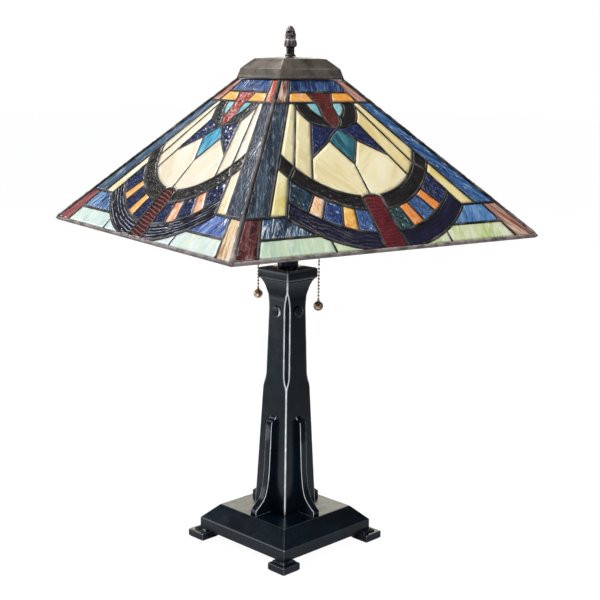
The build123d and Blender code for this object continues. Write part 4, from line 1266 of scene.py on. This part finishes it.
def bead_run(top, bottom, at, above=0.0, below=0.0):
    """One lathe shape: beads with the dumb-bell links that show between them.

    Above and below are how far a pointed link reaches past that end, to the centre of a hinge.
    """
    path = [(0.0, top + above, 0.0)]
    if above:
        path.append((LINK_R, top + above - LINK_R, 0.0))
    count = round((top - bottom) / BEAD_PITCH)
    pitch = (top - bottom) / count
    for bead in range(count):
        centre = top - pitch * (bead + 0.5)
        start = 0 if bead == 0 else 1
        for step in range(start, 8 if bead == count - 1 else 8):
            angle = math.radians(16 + (180 - 32) * step / 7)
            path.append((max(LINK_R, BEAD_R * math.sin(angle)), centre + BEAD_R * math.cos(angle), 0.45 * math.sin(angle) ** 6))
        if bead < count - 1:
            path.append((LINK_R, centre - pitch / 2, 0.0))
    if below:
        path.append((LINK_R, bottom - below + LINK_R, 0.0))
    path.append((0.0, bottom - below, 0.0))
    return lathe(path[::-1], 16, at=at)


def chains():
    for side in ("left", "right"):
        for part, body in (("upper_chain", "chain_top"), ("lower_chain", "chain_end")):
            node = f"{side}_{part}"
            low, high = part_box(node)
            at = ((low.x + high.x) / 2 / MM, (low.y + high.y) / 2 / MM)
            builder = Builder()
            below = HINGE_REACH if part == "upper_chain" else 0.0
            builder.add(*bead_run(high.z / MM, low.z / MM, at, HINGE_REACH, below))
            builder.piece(f"{side}_{part}_beads", f"{side}_{body}", "antique_brass", (node,))
        stem_tip(side, at)
        ball(side)


def stem_tip(side, at):
    """The pointed link under the pull's stem, down to the hinge of the upper run."""
    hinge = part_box(f"{side}_upper_chain")[1].z / MM + HINGE_REACH
    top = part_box(f"{side}_pull_stem")[0].z / MM + 0.3
    builder = Builder()
    path = [(0.0, hinge, 0.0), (LINK_R, hinge + LINK_R, 0.0), (LINK_R, top, 0.0), (0.0, top, 0.0)]
    builder.add(*lathe(path, 16, at=at))
    builder.piece(f"{side}_stem_link", f"{side}_pull", "brass")


def ball(side):
    """The pull's ball: a spun shell with a fine seam and a crimped collar."""
    low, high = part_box(f"{side}_pull_ball")
    at = ((low.x + high.x) / 2 / MM, (low.y + high.y) / 2 / MM)
    radius = (high.x - low.x) / 2 / MM
    centre = low.z / MM + radius
    path = [(0.0, centre - radius, 0.0)]
    for step in range(1, 28):
        angle = math.pi * step / 31
        seam = 0.16 * math.exp(-(((angle - math.pi / 2) / 0.035) ** 2))
        r = radius - seam
        path.append((r * math.sin(angle), centre - r * math.cos(angle), 0.0))
    neck = path[-1][0]
    top = high.z / MM
    path += [(neck, centre + radius - 0.35, 0.2), (1.8, centre + radius, 0.2), (1.7, top - 0.3, 0.2), (1.3, top, 0.2)]
    path.append((0.0, top - 0.1, 0.0))
    builder = Builder()
    builder.add(*lathe(path, 36, at=at))
    builder.piece(f"{side}_ball", f"{side}_chain_end", "antique_brass", (f"{side}_pull_ball",))


# ---------------------------------------------------------------- stage, light and camera
FLOOR_HALF = 12.0
CAMERA_AT = Vector((1.1139, -1.1008, 0.6424))
CAMERA_YAW = 0.337 - 0.608 + 45.0
CAMERA_PITCH = 11.137
CAMERA_ROLL = 0.789
CAMERA_LENS = 71.99


def floor():
    mesh = bpy.data.meshes.new("floor")
    h = FLOOR_HALF
    mesh.from_pydata([(-h, -h, 0), (h, -h, 0), (h, h, 0), (-h, h, 0)], [], [(0, 1, 2, 3)])
    obj = bpy.data.objects.new("floor", mesh)
    bpy.context.scene.collection.objects.link(obj)
    g = Graph("floor_paper")
    seen = g.add("LightPath", {}).outputs["Is Camera Ray"]
    g.principled(base_color=(0.82, 0.82, 0.82, 1), roughness=0.9)
    g.shader.inputs["Specular IOR Level"].default_value = 0.1
    glow = g.add("Emission", {"Color": (1, 1, 1, 1), "Strength": 0.955})
    dull = g.add("BsdfDiffuse", {"Color": (0.10, 0.10, 0.10, 1)})
    lit = g.add("AddShader", {0: glow.outputs[0], 1: dull.outputs[0]})
    # For rays other than the camera's the floor is a painted pool of light: pale near the lamp, for the base to
    # reflect, and darker farther out.
    away = g.add("VectorMath", {0: g.place()}, operation="LENGTH").outputs["Value"]
    painted_light_pool = g.add("BsdfDiffuse", {"Color": g.range(away, 0.22, 0.8, 0.85, 0.34)})
    both = g.add("MixShader", {0: seen, 1: painted_light_pool.outputs[0], 2: lit.outputs[0]})
    g.tree.links.new(both.outputs[0], g.tree.nodes["Material Output"].inputs["Surface"])
    mesh.materials.append(g.material)


def softbox(name, at, target, size, radiance, colour=(1, 1, 1)):
    """An area light of a set brightness, turned to its target."""
    light = bpy.data.lights.new(name, "AREA")
    light.shape = "RECTANGLE"
    light.size, light.size_y = size
    light.energy = radiance * math.pi * size[0] * size[1]
    light.color = colour
    obj = bpy.data.objects.new(name, light)
    obj.location = at
    obj.rotation_mode = "QUATERNION"
    obj.rotation_quaternion = (Vector(target) - Vector(at)).to_track_quat("-Z", "Y")
    obj.visible_camera = False
    bpy.context.scene.collection.objects.link(obj)


def lights():
    softbox("top_box", (-0.2, -0.3, 2.2), (0, 0, 0.5), (2.0, 2.0), 2.8)
    softbox("left_box", (-1.7, -1.5, 0.75), (0, 0, 0.4), (1.1, 1.5), 2.9, (0.93, 0.97, 1.0))
    softbox("right_box", (2.0, 0.3, 1.5), (0, 0, 0.5), (0.5, 1.4), 3.4)
    softbox("back_strip", (-1.9, 1.9, 1.05), (0, 0, 0.05), (2.6, 1.1), 2.4, (1.0, 0.97, 0.8))
    softbox("fill_left", (0.079, -0.205, 0.2), (0, 0, 0.22), (0.05, 0.26), 3.2)
    softbox("fill_right", (0.205, -0.079, 0.2), (0, 0, 0.22), (0.05, 0.26), 2.4)
    softbox("glint_high", (-0.55, -0.25, 1.24), (0, 0, 0.53), (0.3, 0.3), 13.0)
    softbox("glint_low", (-2.88, -0.89, 1.06), (0, 0, 0.53), (0.3, 0.5), 12.0)
    softbox("glint_back", (1.08, 0.54, 1.86), (0, 0, 0.53), (0.35, 0.35), 5.0)


def world():
    scene_world = bpy.data.worlds.new("studio")
    bpy.context.scene.world = scene_world
    scene_world.use_nodes = True
    tree = scene_world.node_tree
    tree.nodes.clear()
    path = tree.nodes.new("ShaderNodeLightPath")
    seen = tree.nodes.new("ShaderNodeBackground")
    seen.inputs[1].default_value = 1.0
    seen.inputs[0].default_value = (1, 1, 1, 1)
    ambient = tree.nodes.new("ShaderNodeBackground")
    ambient.inputs[0].default_value = (0.34, 0.35, 0.37, 1)
    mirrored = tree.nodes.new("ShaderNodeBackground")
    mirrored.inputs[0].default_value = (0.10, 0.105, 0.115, 1)
    unseen = tree.nodes.new("ShaderNodeMixShader")
    tree.links.new(path.outputs["Is Glossy Ray"], unseen.inputs[0])
    tree.links.new(ambient.outputs[0], unseen.inputs[1])
    tree.links.new(mirrored.outputs[0], unseen.inputs[2])
    mix = tree.nodes.new("ShaderNodeMixShader")
    out = tree.nodes.new("ShaderNodeOutputWorld")
    tree.links.new(path.outputs["Is Camera Ray"], mix.inputs[0])
    tree.links.new(unseen.outputs[0], mix.inputs[1])
    tree.links.new(seen.outputs[0], mix.inputs[2])
    tree.links.new(mix.outputs[0], out.inputs[0])


def camera():
    data = bpy.data.cameras.new("camera")
    data.sensor_width = 36.0
    data.lens = CAMERA_LENS
    data.clip_start, data.clip_end = 0.01, 100.0
    obj = bpy.data.objects.new("camera", data)
    yaw, pitch, roll = (math.radians(a) for a in (CAMERA_YAW, CAMERA_PITCH, CAMERA_ROLL))
    look = Vector((-math.sin(yaw) * math.cos(pitch), math.cos(yaw) * math.cos(pitch), -math.sin(pitch)))
    right = Vector((math.cos(yaw), math.sin(yaw), 0))
    up = right.cross(look)
    rolled_right = right * math.cos(roll) + up * math.sin(roll)
    rolled_up = up * math.cos(roll) - right * math.sin(roll)
    axes = Matrix((rolled_right, rolled_up, -look)).transposed().to_4x4()
    obj.matrix_world = Matrix.Translation(CAMERA_AT) @ axes
    bpy.context.scene.collection.objects.link(obj)
    bpy.context.scene.camera = obj


# ---------------------------------------------------------------- build everything
def build():
    bpy.context.scene.view_settings.view_transform = "Standard"
    camera()
    world()
    lights()
    floor()
    finish_cad_nodes()
    came_faces()
    glass_pieces()
    ridge_beads()
    rim_bars()
    vase_cap()
    finial()
    column()
    base_plate()
    feet()
    capital()
    fins()
    pegs()
    chains()


build()
